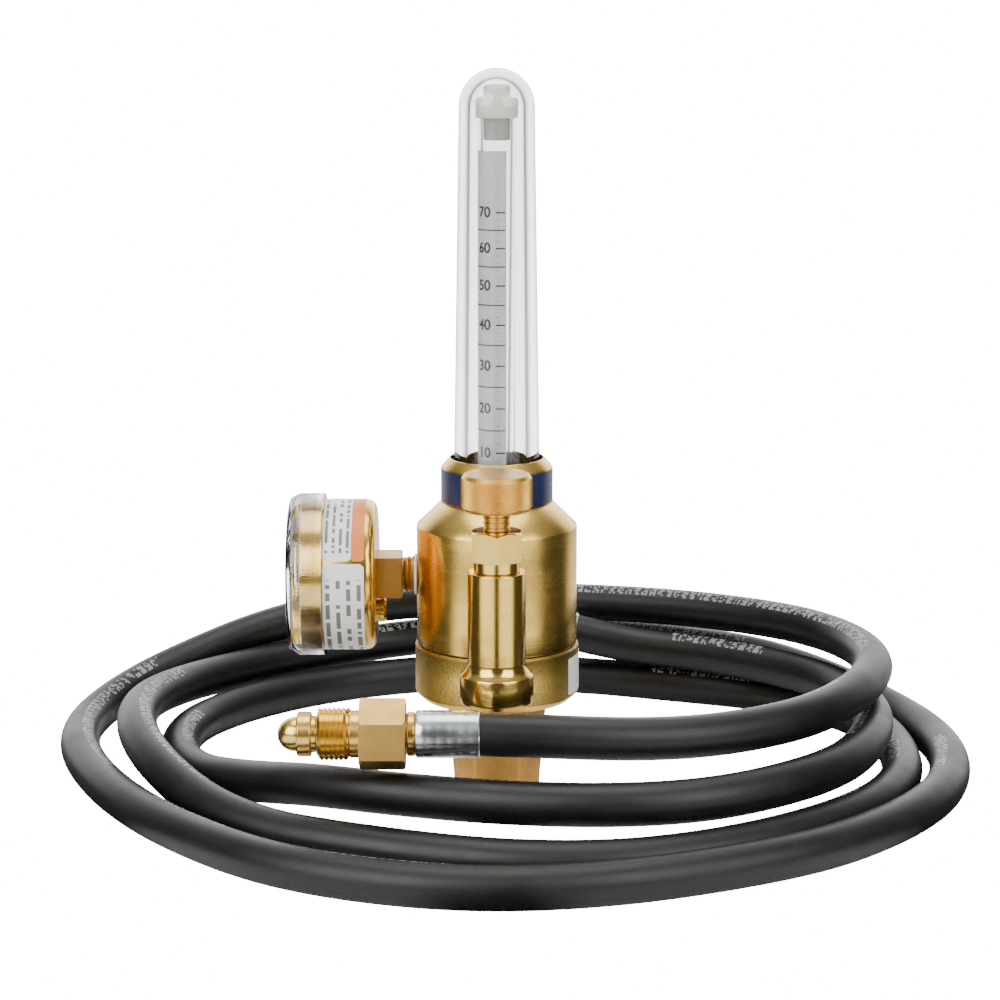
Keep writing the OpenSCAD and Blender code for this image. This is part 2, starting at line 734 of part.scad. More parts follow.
module plate_end(r, angle, reach) {
    rotate([0, 0, angle]) translate([reach, 0, 0]) cylinder(r = r, h = 1, $fn = 32);
}

// Toothed sector on its own arbor; its tail is driven by the curved element's tip
module sector_gear() {
    pivot = sector_r + pinion_r;
    step = 360 / (pinion_teeth * sector_ratio);
    last = floor(pointer_sweep / sector_ratio / step) + 1;
    color(brass) gauge_place() rotate([0, 0, sector_side]) translate([pivot, 0, 0]) {
        translate([0, 0, sector_at]) difference() {
            linear_extrude(sector_t) union() {
                circle(r = 2, $fn = 48);
                rotate([0, 0, 180]) {
                    for (k = [-1 : last]) rotate([0, 0, -k * step]) tooth(sector_r - 0.5, sector_r + 0.34);
                    difference() {
                        circle(r = sector_r - 0.5);
                        circle(r = sector_r - 2.2);
                        rotate([0, 0, 1.5 * step]) translate([0, 0]) square([20, 20]);
                        rotate([0, 0, -(last + 0.5) * step - 90]) square([20, 20]);
                        translate([-30, -20]) square([30, 40]);
                    }
                    rotate([0, 0, -step * last / 2]) translate([0, -1.4]) square([sector_r - 1, 2.8]);
                    rotate([0, 0, -step * last / 2]) translate([-5.6, -1]) square([5.6, 2]);
                }
            }
            translate([0, 0, -1]) cylinder(r = arbor_r - 0.02, h = 4);
        }
        translate([0, 0, plate_back_at - 0.3]) cylinder(r = arbor_r, h = plate_front_at - plate_back_at + 1.6);
    }
}

module pointer_pinion() {
    step = 360 / pinion_teeth;
    color(brass) gauge_place() union() {
        translate([0, 0, sector_at - 0.3]) linear_extrude(sector_t + 0.6) union() {
            circle(r = pinion_r - 0.5, $fn = 48);
            for (k = [0 : pinion_teeth - 1]) rotate([0, 0, sector_side + (k + 0.5) * step])
                tooth(pinion_r - 0.5, pinion_r + 0.34);
        }
        translate([0, 0, plate_back_at - 0.3]) cylinder(r = arbor_r, h = dial_at + 2.8 - plate_back_at);
    }
}

module gauge_dial() {
    color("white") gauge_place() translate([0, 0, dial_at]) difference() {
        cylinder(r = case_r - case_wall - 0.2, h = 0.5);
        translate([0, 0, -1]) cylinder(r = 1.6, h = 3);
        for (a = [90, 270]) rotate([0, 0, a]) translate([8, 0, -1]) cylinder(r = 0.9, h = 3);
    }
}

module dial_screws() {
    color(steel) gauge_place() for (a = [90, 270]) rotate([0, 0, a]) translate([8, 0, 0]) union() {
        translate([0, 0, dial_at + 0.55]) difference() {
            cylinder(r = 1.5, h = 0.7);
            translate([-2, -0.2, 0.4]) cube([4, 0.4, 1]);
        }
        translate([0, 0, dial_at - 2.4]) cylinder(r = 0.8, h = 3);
    }
}

module gauge_pointer() {
    long = case_r - case_wall - 6;
    color("#202124") gauge_place() translate([0, 0, dial_at + 1.5]) rotate([0, 0, zero_angle]) union() {
        linear_extrude(0.4) difference() {
            polygon([[-6, -1.3], [-6, 1.3], [0, 1.5], [long - 4, 0.5], [long, 0], [long - 4, -0.5], [0, -1.5]]);
            circle(r = arbor_r - 0.02, $fn = 48);
        }
        difference() {
            translate([0, 0, -0.4]) cylinder(r = 2.4, h = 1.6);
            translate([0, 0, -1]) cylinder(r = arbor_r, h = 4);
        }
    }
}

module gauge_lens() {
    cham = 3.2;
    in_r = case_r + 0.15;
    color(clear) gauge_place() difference() {
        translate([0, 0, lens_face - lens_skirt]) turned([[0, 0], [lens_r, 0], [lens_r, lens_skirt - cham],
            [lens_r - 1.3, lens_skirt - 0.4], [lens_r - 1.8, lens_skirt], [0, lens_skirt]]);
        translate([0, 0, lens_face - lens_skirt - 1]) turned([[0, 0], [in_r, 0],
            [in_r, case_front + 0.15 - lens_face + lens_skirt + 1],
            [in_r - 1.4, lens_skirt + 1 - lens_wall], [0, lens_skirt + 1 - lens_wall]]);
    }
}

// ---- outlet valve ----

module valve_body() {
    boss_r = boss_d / 2;
    housing_r = housing_d / 2;
    edge = 2;
    color(brass) valve_place() difference() {
        union() {
            turned([[0, z_boss], [boss_r - edge, z_boss],
                for (a = [-67.5 : 22.5 : -22.5]) [boss_r - edge + edge * cos(a), z_boss + edge + edge * sin(a)],
                [boss_r, z_boss + edge], [boss_r, z_boss + boss_h], [boss_r - 0.6, z_boss + boss_h + 0.5],
                [housing_r + 0.7, z_boss + boss_h + shoulder_h - 1], [housing_r, z_boss + boss_h + shoulder_h + 0.6],
                [housing_r, z_housing_top - 0.5], [housing_r - 0.5, z_housing_top], [0, z_housing_top]]);
            translate([0, 0, z_valve_port]) rotate([-90, 0, 0])
                cylinder(r = valve_stub_r, h = valve_reach - body_r + port_floor - 0.4);
        }
        translate([0, 0, z_boss - 1]) cylinder(d = outlet_d, h = outlet_depth + 1);
        translate([0, 0, z_boss + outlet_depth - 0.01])
            cylinder(r1 = outlet_d / 2 - 1.2, r2 = 2.4, h = 4);
        translate([0, 0, z_boss + outlet_depth]) cylinder(r = 1.3, h = z_valve_port - z_boss - outlet_depth);
        translate([0, 0, z_needle_seat]) cylinder(r1 = 1.3, r2 = needle_r, h = 2);
        translate([0, 0, z_needle_seat + 2]) cylinder(r = needle_r, h = z_housing_top);
        translate([0, 0, z_valve_port + 6.5]) cylinder(r = valve_thread_r + seat_gap, h = z_housing_top);
        translate([0, 0, z_valve_port]) rotate([-90, 0, 0]) cylinder(r = 1.4, h = valve_reach);
    }
}

module valve_bonnet() {
    color(brass) valve_place() difference() {
        union() {
            translate([0, 0, z_valve_port + 7]) cylinder(r = valve_thread_r, h = z_valve_hex - z_valve_port - 7);
            translate([0, 0, z_housing_top]) turned([[0, 0], [6.7, 0], [7.05, 0.4], [7.05, z_valve_hex - z_housing_top],
                [0, z_valve_hex - z_housing_top]]);
            translate([0, 0, z_valve_hex]) rotate([0, 0, 30]) hex_bar(valve_af, valve_hex_h, 0.5, 1.1);
        }
        translate([0, 0, z_valve_port]) cylinder(r = stem_r + run_gap, h = 60);
        translate([0, 0, z_valve_port + 6]) cylinder(r = stem_r + packing_w, h = 7);
    }
}

module stem_packing() {
    color(rubber) valve_place() translate([0, 0, z_valve_port + 8.2])
        ring(stem_r + packing_w - 0.02, stem_r + run_gap, 4);
}

module valve_stem() {
    tip_z = z_needle_seat - 0.9;
    color(steel) valve_place() union() {
        translate([0, 0, tip_z + 4]) cylinder(r = stem_r, h = z_knob + knob_h - 2.5 - tip_z - 4);
        translate([0, 0, tip_z]) cylinder(r1 = 0.9, r2 = stem_r, h = 4);
    }
}

module valve_knob() {
    r = knob_d / 2;
    groove = 0.35;
    color(brass) valve_place() difference() {
        union() {
            translate([0, 0, z_knob]) turned([[0, 0], [r - 1.1, 0], [r, 0.9], [r, knob_h - 1.1],
                [r - 1.1, knob_h], [0, knob_h]]);
            translate([0, 0, z_knob - knob_neck_h]) turned([[0, 0], [knob_neck_r, 0],
                for (k = [0 : 2]) each [[knob_neck_r, 0.9 + 1.6 * k], [knob_neck_r - groove, 1.2 + 1.6 * k],
                    [knob_neck_r - groove, 1.8 + 1.6 * k], [knob_neck_r, 2.1 + 1.6 * k]],
                [knob_neck_r, knob_neck_h + 0.1], [0, knob_neck_h + 0.1]]);
        }
        translate([0, 0, z_knob - knob_neck_h - 1]) cylinder(r = stem_r + seat_gap, h = knob_neck_h + knob_h - 1.4);
        translate([0, 0, z_knob + knob_h / 2]) rotate([-90, 0, 0]) cylinder(r = 2.05, h = r + 1);
    }
}

module knob_setscrew() {
    r = knob_d / 2;
    color(steel) valve_place() translate([0, stem_r + seat_gap + 0.2, z_knob + knob_h / 2]) rotate([-90, 0, 0])
        difference() {
            cylinder(r = 2, h = r - stem_r - 2);
            translate([0, 0, r - stem_r - 3.8]) cylinder(r = 1.1, h = 3, $fn = 6);
        }
}

// ---- cylinder inlet ----

module inlet_nipple() {
    nose_from = nipple_len + inlet_shoulder_h;
    color(brass) inlet_place() difference() {
        union() {
            translate([0, 0, -port_floor - 1.2]) cylinder(r = inlet_port_r, h = port_floor + 1.2 + 2.4);
            turned([[0, 0.2], [9, 0.2], [9, 4.4], [8.4, 5], [0, 5]]);
            cylinder(d = nipple_d, h = nipple_len + 1);
            translate([0, 0, nipple_len]) turned([[0, 0], [inlet_shoulder_r, 0],
                [inlet_shoulder_r, inlet_shoulder_h], [7.6, inlet_shoulder_h], [7.6, inlet_shoulder_h + 1.4],
                for (a = [15 : 15 : 60]) [7.6 * cos(a), inlet_shoulder_h + 1.4 + 6.9 * sin(a)],
                [3.4, inlet_shoulder_h + inlet_nose_h], [0, inlet_shoulder_h + inlet_nose_h]]);
        }
        translate([0, 0, -port_floor - 2]) cylinder(r = 2.2, h = nose_from + port_floor + 20);
        translate([0, 0, nose_from - 4]) cylinder(r = 2.9, h = 20);
    }
}

module inlet_filter() {
    color(brass_dark) inlet_place() translate([0, 0, nipple_len + inlet_shoulder_h - 4])
        turned([[0, 0], [2.85, 0], [2.85, 6], [2.2, 8.4], [0, 9]]);
}

module inlet_nut() {
    color(brass) inlet_place() translate([0, 0, inlet_nut_from]) difference() {
        union() {
            hex_bar(inlet_af, inlet_hex_h, 1.4, 1.4);
            translate([0, 0, inlet_hex_h]) turned([[0, -1], [inlet_thread_d / 2 - 1.3, -1], [inlet_thread_d / 2 - 1.3, 1.4],
                [inlet_thread_d / 2, 2.2], [inlet_thread_d / 2, inlet_nut_len - inlet_hex_h - 1],
                [inlet_thread_d / 2 - 1, inlet_nut_len - inlet_hex_h], [0, inlet_nut_len - inlet_hex_h]]);
        }
        translate([0, 0, -1]) cylinder(r = inlet_bore_r, h = 60);
        translate([0, 0, inlet_nut_len - inlet_shoulder_h - joint_gap])
            cylinder(r = inlet_shoulder_r + joint_gap, h = 20);
    }
}

// ---- hose and its fittings ----

module fitting_nipple() {
    color(brass) difference() {
        union() {
            translate([0, 0, ferrule_h]) turned([[0, 0], [fit_collar_r, 0], [fit_collar_r, fit_collar_h - 0.3],
                [fit_collar_r - 0.3, fit_collar_h], [0, fit_collar_h]]);
            translate([0, 0, ferrule_h + 1]) cylinder(d = fitting_shank_d, h = fit_head_from - ferrule_h);
            translate([0, 0, fit_head_from]) turned([[0, -0.1], [fit_head_r - 1.2, -0.1], [fit_head_r - 1.2, fit_neck_h],
                [fit_head_r - 0.3, fit_neck_h], [fit_head_r, fit_neck_h + 0.3],
                [fit_head_r, fit_neck_h + fit_head_h - 0.4], [fit_head_r - 0.4, fit_neck_h + fit_head_h],
                [fit_nose_r, fit_neck_h + fit_head_h],
                for (a = [0 : 15 : 60]) [0.8 + (fit_nose_r - 0.8) * cos(a),
                    fit_neck_h + fit_head_h + fit_nose_h * sin(a) * 1.1],
                [0, fit_neck_h + fit_head_h + fit_nose_h]]);
            translate([0, 0, 1]) turned([[0, 0], [2.4, 0],
                for (k = [0 : 3]) each [[hose_bore / 2 - 0.02, 3 + 3.6 * k], [2.6, 3.4 + 3.6 * k]],
                [2.6, ferrule_h], [0, ferrule_h]]);
        }
        translate([0, 0, -30]) cylinder(r = 1.6, h = 100);
    }
}

module fitting_nut() {
    color(brass_dark) translate([0, 0, fit_nut_from]) difference() {
        union() {
            hex_bar(fitting_af, fit_hex_h, 0.8, 0.8);
            cylinder(r = fitting_thread_d / 2 - 1.1, h = fit_nut_h);
            translate([0, 0, fit_hex_h + fit_relief_h]) turned([[0, 0], [fitting_thread_d / 2 - 0.6, 0],
                [fitting_thread_d / 2, 0.6], [fitting_thread_d / 2, fit_thread_h - 0.7],
                [fitting_thread_d / 2 - 0.7, fit_thread_h], [0, fit_thread_h]]);
        }
        translate([0, 0, -1]) cylinder(r = fitting_shank_d / 2 + run_gap, h = 60);
    }
}

// Crimped sleeve round the hose's end, closed by a lip against the nipple's collar
module fitting_ferrule() {
    r = ferrule_d / 2;
    color(steel) difference() {
        turned([[0, 0], [r - 0.2, 0], [r, 0.3], [r, ferrule_h - 0.8], [r - 0.6, ferrule_h - seat_gap],
            [0, ferrule_h - seat_gap]]);
        translate([0, 0, -1]) cylinder(r = hose_d / 2 + 0.01, h = hose_in + 1.1);
        translate([0, 0, -1]) cylinder(r = 2.65, h = ferrule_h + 2);
    }
}

module hose_front_nipple() { front_fitting_place() fitting_nipple(); }
module hose_front_nut() { front_fitting_place() fitting_nut(); }
module hose_front_ferrule() { front_fitting_place() fitting_ferrule(); }
module hose_rear_nipple() { rear_fitting_place() fitting_nipple(); }
module hose_rear_nut() { rear_fitting_place() fitting_nut(); }
module hose_rear_ferrule() { rear_fitting_place() fitting_ferrule(); }

function unit(v) = v / norm(v);

// One ring of the hose's wall at point i of its path
function hose_ring(i, r) = let (n = len(HOSE_PATH) - 1, ends = i == 0 ? [1, 0, 0] : [-1, 0, 0],
    t = i == 0 || i == n ? ends : unit(HOSE_PATH[i + 1] - HOSE_PATH[i - 1]),
    side = unit(cross(t, [0, 0, 1])), up = cross(side, t))
    [for (k = [0 : HOSE_SIDES - 1]) let (b = 360 * (k + 0.5) / HOSE_SIDES)
    HOSE_PATH[i] + r * cos(b) * side + r * sin(b) * up];

module hose() {
    last = len(HOSE_PATH) - 1;
    m = HOSE_SIDES;
    pts = [for (i = [0 : last]) each concat(hose_ring(i, hose_d / 2), hose_ring(i, hose_bore / 2))];
    outer = [for (i = [0 : last - 1]) for (k = [0 : m - 1])
        let (a = 2 * m * i + k, b = 2 * m * i + (k + 1) % m) [a, b, b + 2 * m, a + 2 * m]];
    inner = [for (i = [0 : last - 1]) for (k = [0 : m - 1])
        let (a = 2 * m * i + m + k, b = 2 * m * i + m + (k + 1) % m) [a, a + 2 * m, b + 2 * m, b]];
    start = [for (k = [0 : m - 1]) let (j = (k + 1) % m) [k, k + m, j + m, j]];
    end = [for (k = [0 : m - 1]) let (j = (k + 1) % m, q = 2 * m * last) [q + k, q + j, q + j + m, q + k + m]];
    color(rubber) polyhedron(pts, concat(outer, inner, start, end), convexity = 20);
}

bonnet();
rim_label();
preset_screw();
spring_seat();
pressure_spring();
spring_button();
diaphragm();
slip_ring();
diaphragm_plate();
regulator_body();
nozzle();
poppet();
poppet_seat();
poppet_spring();
tube_collar();
collar_band();
cover_oring();
cover_tube();
tube_gasket();
metering_tube();
tube_foot();
float_stop();
float_ball();
scale_strip();
tube_plug();
gauge_socket();
gauge_case();
gauge_vent_plug();
gauge_label();
gauge_label_flash();
bourdon_tube();
movement_plates();
sector_gear();
pointer_pinion();
gauge_dial();
dial_screws();
gauge_pointer();
gauge_lens();
valve_body();
valve_bonnet();
stem_packing();
valve_stem();
valve_knob();
knob_setscrew();
inlet_nipple();
inlet_filter();
inlet_nut();
hose_front_nipple();
hose_front_nut();
hose_front_ferrule();
hose();
hose_rear_ferrule();
hose_rear_nipple();
hose_rear_nut();
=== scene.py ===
"""Visual model of a gas regulator with a flow tube, a gauge, an outlet valve and a coiled hose."""

import json
import math

import bmesh
import bpy
from mathutils import Matrix, Vector


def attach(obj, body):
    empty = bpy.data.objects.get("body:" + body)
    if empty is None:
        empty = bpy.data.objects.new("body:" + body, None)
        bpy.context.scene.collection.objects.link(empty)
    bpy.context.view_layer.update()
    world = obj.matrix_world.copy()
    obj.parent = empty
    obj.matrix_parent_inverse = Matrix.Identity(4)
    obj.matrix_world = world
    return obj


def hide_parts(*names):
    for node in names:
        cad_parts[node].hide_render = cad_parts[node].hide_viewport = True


bl_info = {
    "name": "Gas regulator",
    "version": (1, 0, 0),
    "blender": (4, 5, 0),
    "location": "3D View > Sidebar > Regulator",
    "description": "Builds a gas regulator with its hose round a packed frame",
    "category": "Object",
}

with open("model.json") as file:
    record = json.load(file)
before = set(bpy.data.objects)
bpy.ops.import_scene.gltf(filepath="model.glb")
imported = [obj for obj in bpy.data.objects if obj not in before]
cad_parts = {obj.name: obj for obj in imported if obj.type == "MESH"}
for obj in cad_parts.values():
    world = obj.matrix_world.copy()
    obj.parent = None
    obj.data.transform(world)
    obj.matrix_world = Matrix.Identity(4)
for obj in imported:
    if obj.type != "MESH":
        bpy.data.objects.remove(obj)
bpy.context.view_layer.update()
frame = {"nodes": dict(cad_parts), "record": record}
NODES = frame["nodes"]
SLOT_OF = {s["node"]: s["material_slot"] for s in frame["record"]["subparts"]}
BODY_OF = {n: b for b, members in frame["record"]["behaviour"]["bodies"].items() for n in members}
MM = 0.001
FINISHES = {}

# Where each assembly stands, from its own axis along +Z, in millimetres
GAUGE = Matrix.Translation((-25.4, 0, 69)) @ Matrix.Rotation(math.radians(-90), 4, "Y")
INLET = Matrix.Translation((0, 25.4, 69)) @ Matrix.Rotation(math.radians(-90), 4, "X")
VALVE = Matrix.Translation((0, -38, 0))
FRONT = Matrix.Translation((-5, -69, 36.2)) @ Matrix.Rotation(math.radians(-90), 4, "Y")
REAR = Matrix.Translation((27, 102.5, 24.5)) @ Matrix.Rotation(math.radians(-70), 4, "Y")
UPRIGHT = Matrix.Identity(4)

HOSE_IN = 0.0177  # how far the hose goes into each ferrule, in metres
# The flow scale: a value's height on the tube is ZERO + RISE * value + CROWDING * value squared
SCALE_ZERO, SCALE_RISE, SCALE_CROWDING = 94.6, 1.49, -0.003
SEEN_WHITE = 16.0  # light that the camera sees on the floor and behind it
DIAL_SWEEP, DIAL_STEPS = 270, 8  # the dial's sweep in degrees and its numbered steps

# The hose's route, in metres
ROUTE = [
    (-.005, -.069, .0362), (.020, -.069, .0352), (.044, -.065, .0335), (.068, -.056, .0325),
    (.092, -.040, .0325), (.108, -.020, .033), (.119, .004, .033), (.124, .028, .033), (.120, .054, .033),
    (.106, .078, .033), (.084, .097, .0325), (.058, .111, .032), (.028, .120, .0315), (0, .124, .0315),
    (-.028, .122, .0315), (-.056, .115, .030), (-.083, .105, .0255), (-.108, .092, .018),
    (-.127, .076, .0115), (-.138, .052, .0072), (-.138, .024, .0065), (-.130, -.006, .0065),
    (-.115, -.039, .0065), (-.095, -.069, .0065), (-.067, -.098, .0065), (-.034, -.115, .0065),
    (0, -.121, .0065), (.034, -.116, .0065), (.067, -.103, .0065), (.097, -.085, .0065),
    (.121, -.060, .0065), (.138, -.032, .0065), (.146, 0, .0065), (.145, .032, .0065), (.136, .062, .007),
    (.118, .086, .011), (.094, .101, .016), (.066, .112, .018), (.036, .124, .018), (.004, .131, .018),
    (-.030, .123, .0175), (-.060, .110, .016), (-.088, .089, .015), (-.108, .062, .016),
    (-.117, .032, .018), (-.116, .002, .018), (-.106, -.027, .015), (-.088, -.053, .0095),
    (-.065, -.071, .0065), (-.034, -.086, .0065), (0, -.097, .0065), (.034, -.098, .0065),
    (.065, -.087, .0065), (.093, -.068, .0065), (.115, -.044, .0065), (.128, -.016, .0065),
    (.131, .014, .0065), (.127, .044, .0065), (.113, .069, .0065), (.092, .087, .0065),
    (.064, .098, .0065), (.034, .109, .0065), (.002, .114, .0065), (-.032, .110, .0065),
    (-.062, .095, .0065), (-.086, .073, .0065), (-.102, .045, .0065), (-.104, .014, .0065),
    (-.094, -.014, .0075), (-.076, -.034, .011), (-.056, -.054, .016), (-.032, -.069, .018),
    (-.002, -.079, .0185), (.030, -.084, .019), (.060, -.079, .019), (.086, -.063, .019),
    (.107, -.040, .019), (.119, -.010, .0195), (.122, .020, .0195), (.115, .048, .0195),
    (.101, .068, .0195), (.084, .0825, .0198), (.066, .094, .0196), (.0465, .101, .0205),
    (.027, .1025, .0245)]


# ---- settings a user would change ----

def length_prop(name, description, default):
    return bpy.props.FloatProperty(name=name, description=description, default=default, min=0.0,
                                   unit="LENGTH", subtype="DISTANCE", precision=5)


def colour_prop(name, description, default):
    return bpy.props.FloatVectorProperty(name=name, description=description, default=default, size=3,
                                         min=0.0, max=1.0, subtype="COLOR")


class RegulatorSizes(bpy.types.PropertyGroup):
    edge_round: length_prop("Edge rounding", "Rounding of machined edges", 0.00022)
    knurl_pitch: length_prop("Knurl pitch", "Distance between the knob's diamonds", 0.00098)
    knurl_depth: length_prop("Knurl depth", "How far the knob's diamonds stand out", 0.00035)
    hose_diameter: length_prop("Hose diameter", "Outside diameter of the hose", 0.013)
    thread_pitch: length_prop("Thread pitch", "Pitch of the hose fitting's thread", 0.00141)
    lens_rib: length_prop("Lens rib", "Width of one rib on the gauge's lens", 0.0005)
    round_steps: bpy.props.IntProperty(name="Round steps", description="Faces round a turned piece",
                                       default=128, min=24, max=256)
    lens_ribs: bpy.props.IntProperty(name="Lens ribs", description="Ribs round the gauge's lens",
                                     default=150, min=20, max=300)


class RegulatorColours(bpy.types.PropertyGroup):
    turned: colour_prop("Turned brass", "Body, collar and valve", (0.85, 0.59, 0.145))
    forged: colour_prop("Forged brass", "Bonnet's rim and nub", (0.36, 0.25, 0.06))
    pale: colour_prop("Pale brass", "Nuts and nipples", (0.86, 0.60, 0.16))
    knob: colour_prop("Knob brass", "Knurled knob", (0.82, 0.49, 0.10))
    zinc: colour_prop("Zinc plate", "Crimped ferrules", (0.74, 0.78, 0.79))
    hose: colour_prop("Hose rubber", "Cover of the hose", (0.0034, 0.0036, 0.0039))
    band: colour_prop("Band", "Blue band round the collar", (0.007, 0.011, 0.060))
    ivory: colour_prop("Plug", "Moulded plug in the flow tube", (0.92, 0.90, 0.76))
    label: colour_prop("Label", "White labels", (0.80, 0.80, 0.78))
    flash: colour_prop("Label flash", "Orange part of the gauge's label", (0.76, 0.20, 0.03))


class RegulatorStage(bpy.types.PropertyGroup):
    camera_lens: bpy.props.FloatProperty(name="Lens", description="Focal length in millimetres",
                                         default=98.75, min=10, max=300)
    camera_pitch: bpy.props.FloatProperty(name="Pitch", description="How far the camera looks down",
                                          default=math.radians(11.25), subtype="ANGLE", unit="ROTATION")
    camera_distance: length_prop("Camera distance", "Distance in front of the body's axis", 0.850)
    camera_height: length_prop("Camera height", "Height above the floor", 0.262)
    light: bpy.props.FloatProperty(name="Light", description="Strength of the soft lights", default=1.0,
                                   min=0.0, max=10.0)


# ---- nodes ----

def feed(tree, sockets, values):
    """Links each value that is a socket, and sets each that is a plain number or colour."""
    for key, value in values.items():
        if isinstance(value, bpy.types.NodeSocket):
            tree.links.new(value, sockets[key])
        else:
            sockets[key].default_value = value


def add_node(tree, kind, inputs=None, **settings):
    made = tree.nodes.new(kind)
    for key, value in settings.items():
        setattr(made, key, value)
    feed(tree, made.inputs, inputs or {})
    return made


def calc(tree, operation, a, b=None, clamp=False):
    inputs = {0: a} if b is None else {0: a, 1: b}
    return add_node(tree, "ShaderNodeMath", inputs, operation=operation, use_clamp=clamp).outputs[0]


def times(tree, a, b, clamp=False):
    return calc(tree, "MULTIPLY", a, b, clamp)


def plus(tree, a, b):
    return calc(tree, "ADD", a, b)


def above(tree, a, b):
    return calc(tree, "GREATER_THAN", a, b)


def below(tree, a, b):
    return calc(tree, "LESS_THAN", a, b)


def noise(tree, inputs, dimensions="3D"):
    return add_node(tree, "ShaderNodeTexNoise", inputs, noise_dimensions=dimensions).outputs["Fac"]


def chance(tree, inputs, dimensions):
    """A random number from 0 to 1 for each whole place."""
    return add_node(tree, "ShaderNodeTexWhiteNoise", inputs, noise_dimensions=dimensions).outputs["Value"]


def map_range(tree, value, inputs):
    return add_node(tree, "ShaderNodeMapRange", dict(inputs, Value=value)).outputs["Result"]


def vector_of(tree, x, y, z):
    return add_node(tree, "ShaderNodeCombineXYZ", {0: x, 1: y, 2: z}).outputs[0]


def split(tree, vector):
    return add_node(tree, "ShaderNodeSeparateXYZ", {0: vector}).outputs


def object_place(tree):
    return add_node(tree, "ShaderNodeTexCoord").outputs["Object"]


# ---- shader groups ----

GROUPS = {}


def shader_group(name, inputs, outputs):
    """An empty group, its given sockets and its output's sockets."""
    group = bpy.data.node_groups.new(name, "ShaderNodeTree")
    for label, value in inputs.items():
        kind = "NodeSocketVector" if isinstance(value, tuple) else "NodeSocketFloat"
        group.interface.new_socket(name=label, in_out="INPUT", socket_type=kind).default_value = value
    for label in outputs:
        group.interface.new_socket(name=label, in_out="OUTPUT", socket_type="NodeSocketFloat")
    GROUPS[name] = group
    return group, add_node(group, "NodeGroupInput").outputs, add_node(group, "NodeGroupOutput").inputs


def turning_group():
    """Fine lines that a lathe tool leaves square to an axis."""
    group, given, out = shader_group("turning lines", {"Axis": (0, 0, 1), "Lines": 3000.0},
                                     ("Height", "Streaks"))
    along = add_node(group, "ShaderNodeVectorMath", {0: object_place(group), 1: given["Axis"]},
                     operation="DOT_PRODUCT").outputs["Value"]
    feed(group, out, {
        "Height": noise(group, {"Detail": 2.0, "W": along, "Scale": given["Lines"]}, "1D"),
        "Streaks": noise(group, {"Detail": 3.0, "W": along, "Scale": 260.0}, "1D")})


def tarnish_group():
    """Cloudy patches of finger marks and oxide."""
    group, given, out = shader_group("tarnish", {"Scale": 90.0, "Amount": 0.5}, ("Mask", "Fine"))
    at = object_place(group)
    cloud = noise(group, {"Detail": 5.0, "Roughness": 0.62, "Vector": at, "Scale": given["Scale"]})
    spread = map_range(group, cloud, {"From Min": 0.40, "From Max": 0.68})
    feed(group, out, {"Mask": times(group, spread, given["Amount"], True),
                      "Fine": noise(group, {"Scale": 900.0, "Detail": 3.0, "Vector": at})})


def pits_group():
    """Small pits and specks of a forged or worn surface."""
    group, given, out = shader_group("pits", {"Scale": 1400.0, "Size": 0.35}, ("Height", "Specks"))
    at = object_place(group)
    cells = add_node(group, "ShaderNodeTexVoronoi", {"Vector": at, "Scale": given["Scale"]})
    dots = below(group, cells.outputs["Distance"], given["Size"])
    some = above(group, noise(group, {"Scale": 160.0, "Vector": at}), 0.54)
    feed(group, out, {"Height": cells.outputs["Distance"], "Specks": times(group, dots, some)})


def edge_group():
    """Where edges and corners are rubbed bright."""
    group, given, out = shader_group("edge wear", {"Reach": 0.06}, ("Mask",))
    shape = add_node(group, "ShaderNodeNewGeometry")
    over = calc(group, "SUBTRACT", shape.outputs["Pointiness"], 0.5)
    feed(group, out, {"Mask": calc(group, "DIVIDE", over, given["Reach"], True)})


def place_group(tree, name, **values):
    return add_node(tree, "ShaderNodeGroup", values, node_tree=GROUPS[name]).outputs


# ---- finishes ----

def start_finish(name, **inputs):
    """A new material's tree and its shader's inputs."""
    material = bpy.data.materials.new(name)
    material.use_nodes = True
    FINISHES[name] = material
    tree = material.node_tree
    shader = tree.nodes["Principled BSDF"].inputs
    feed(tree, shader, {key.replace("_", " "): value for key, value in inputs.items()})
    return tree, shader


def mix_colours(tree, factor, first, second):
    first, second = ((*c, 1.0) if isinstance(c, tuple) else c for c in (first, second))
    return add_node(tree, "ShaderNodeMix", {0: factor, 6: first, 7: second}, data_type="RGBA").outputs[2]


def bump(tree, shader, height, distance, strength, under=None):
    inputs = {"Distance": distance, "Strength": strength, "Height": height}
    if under is not None:
        inputs["Normal"] = under
    normal = add_node(tree, "ShaderNodeBump", inputs).outputs["Normal"]
    feed(tree, shader, {"Normal": normal})
    return normal


def paint(tree, shader, colour, rough):
    feed(tree, shader, {"Base Color": colour, "Roughness": rough})


def scaled(colour, k):
    return tuple(min(1.0, c * k) for c in colour)


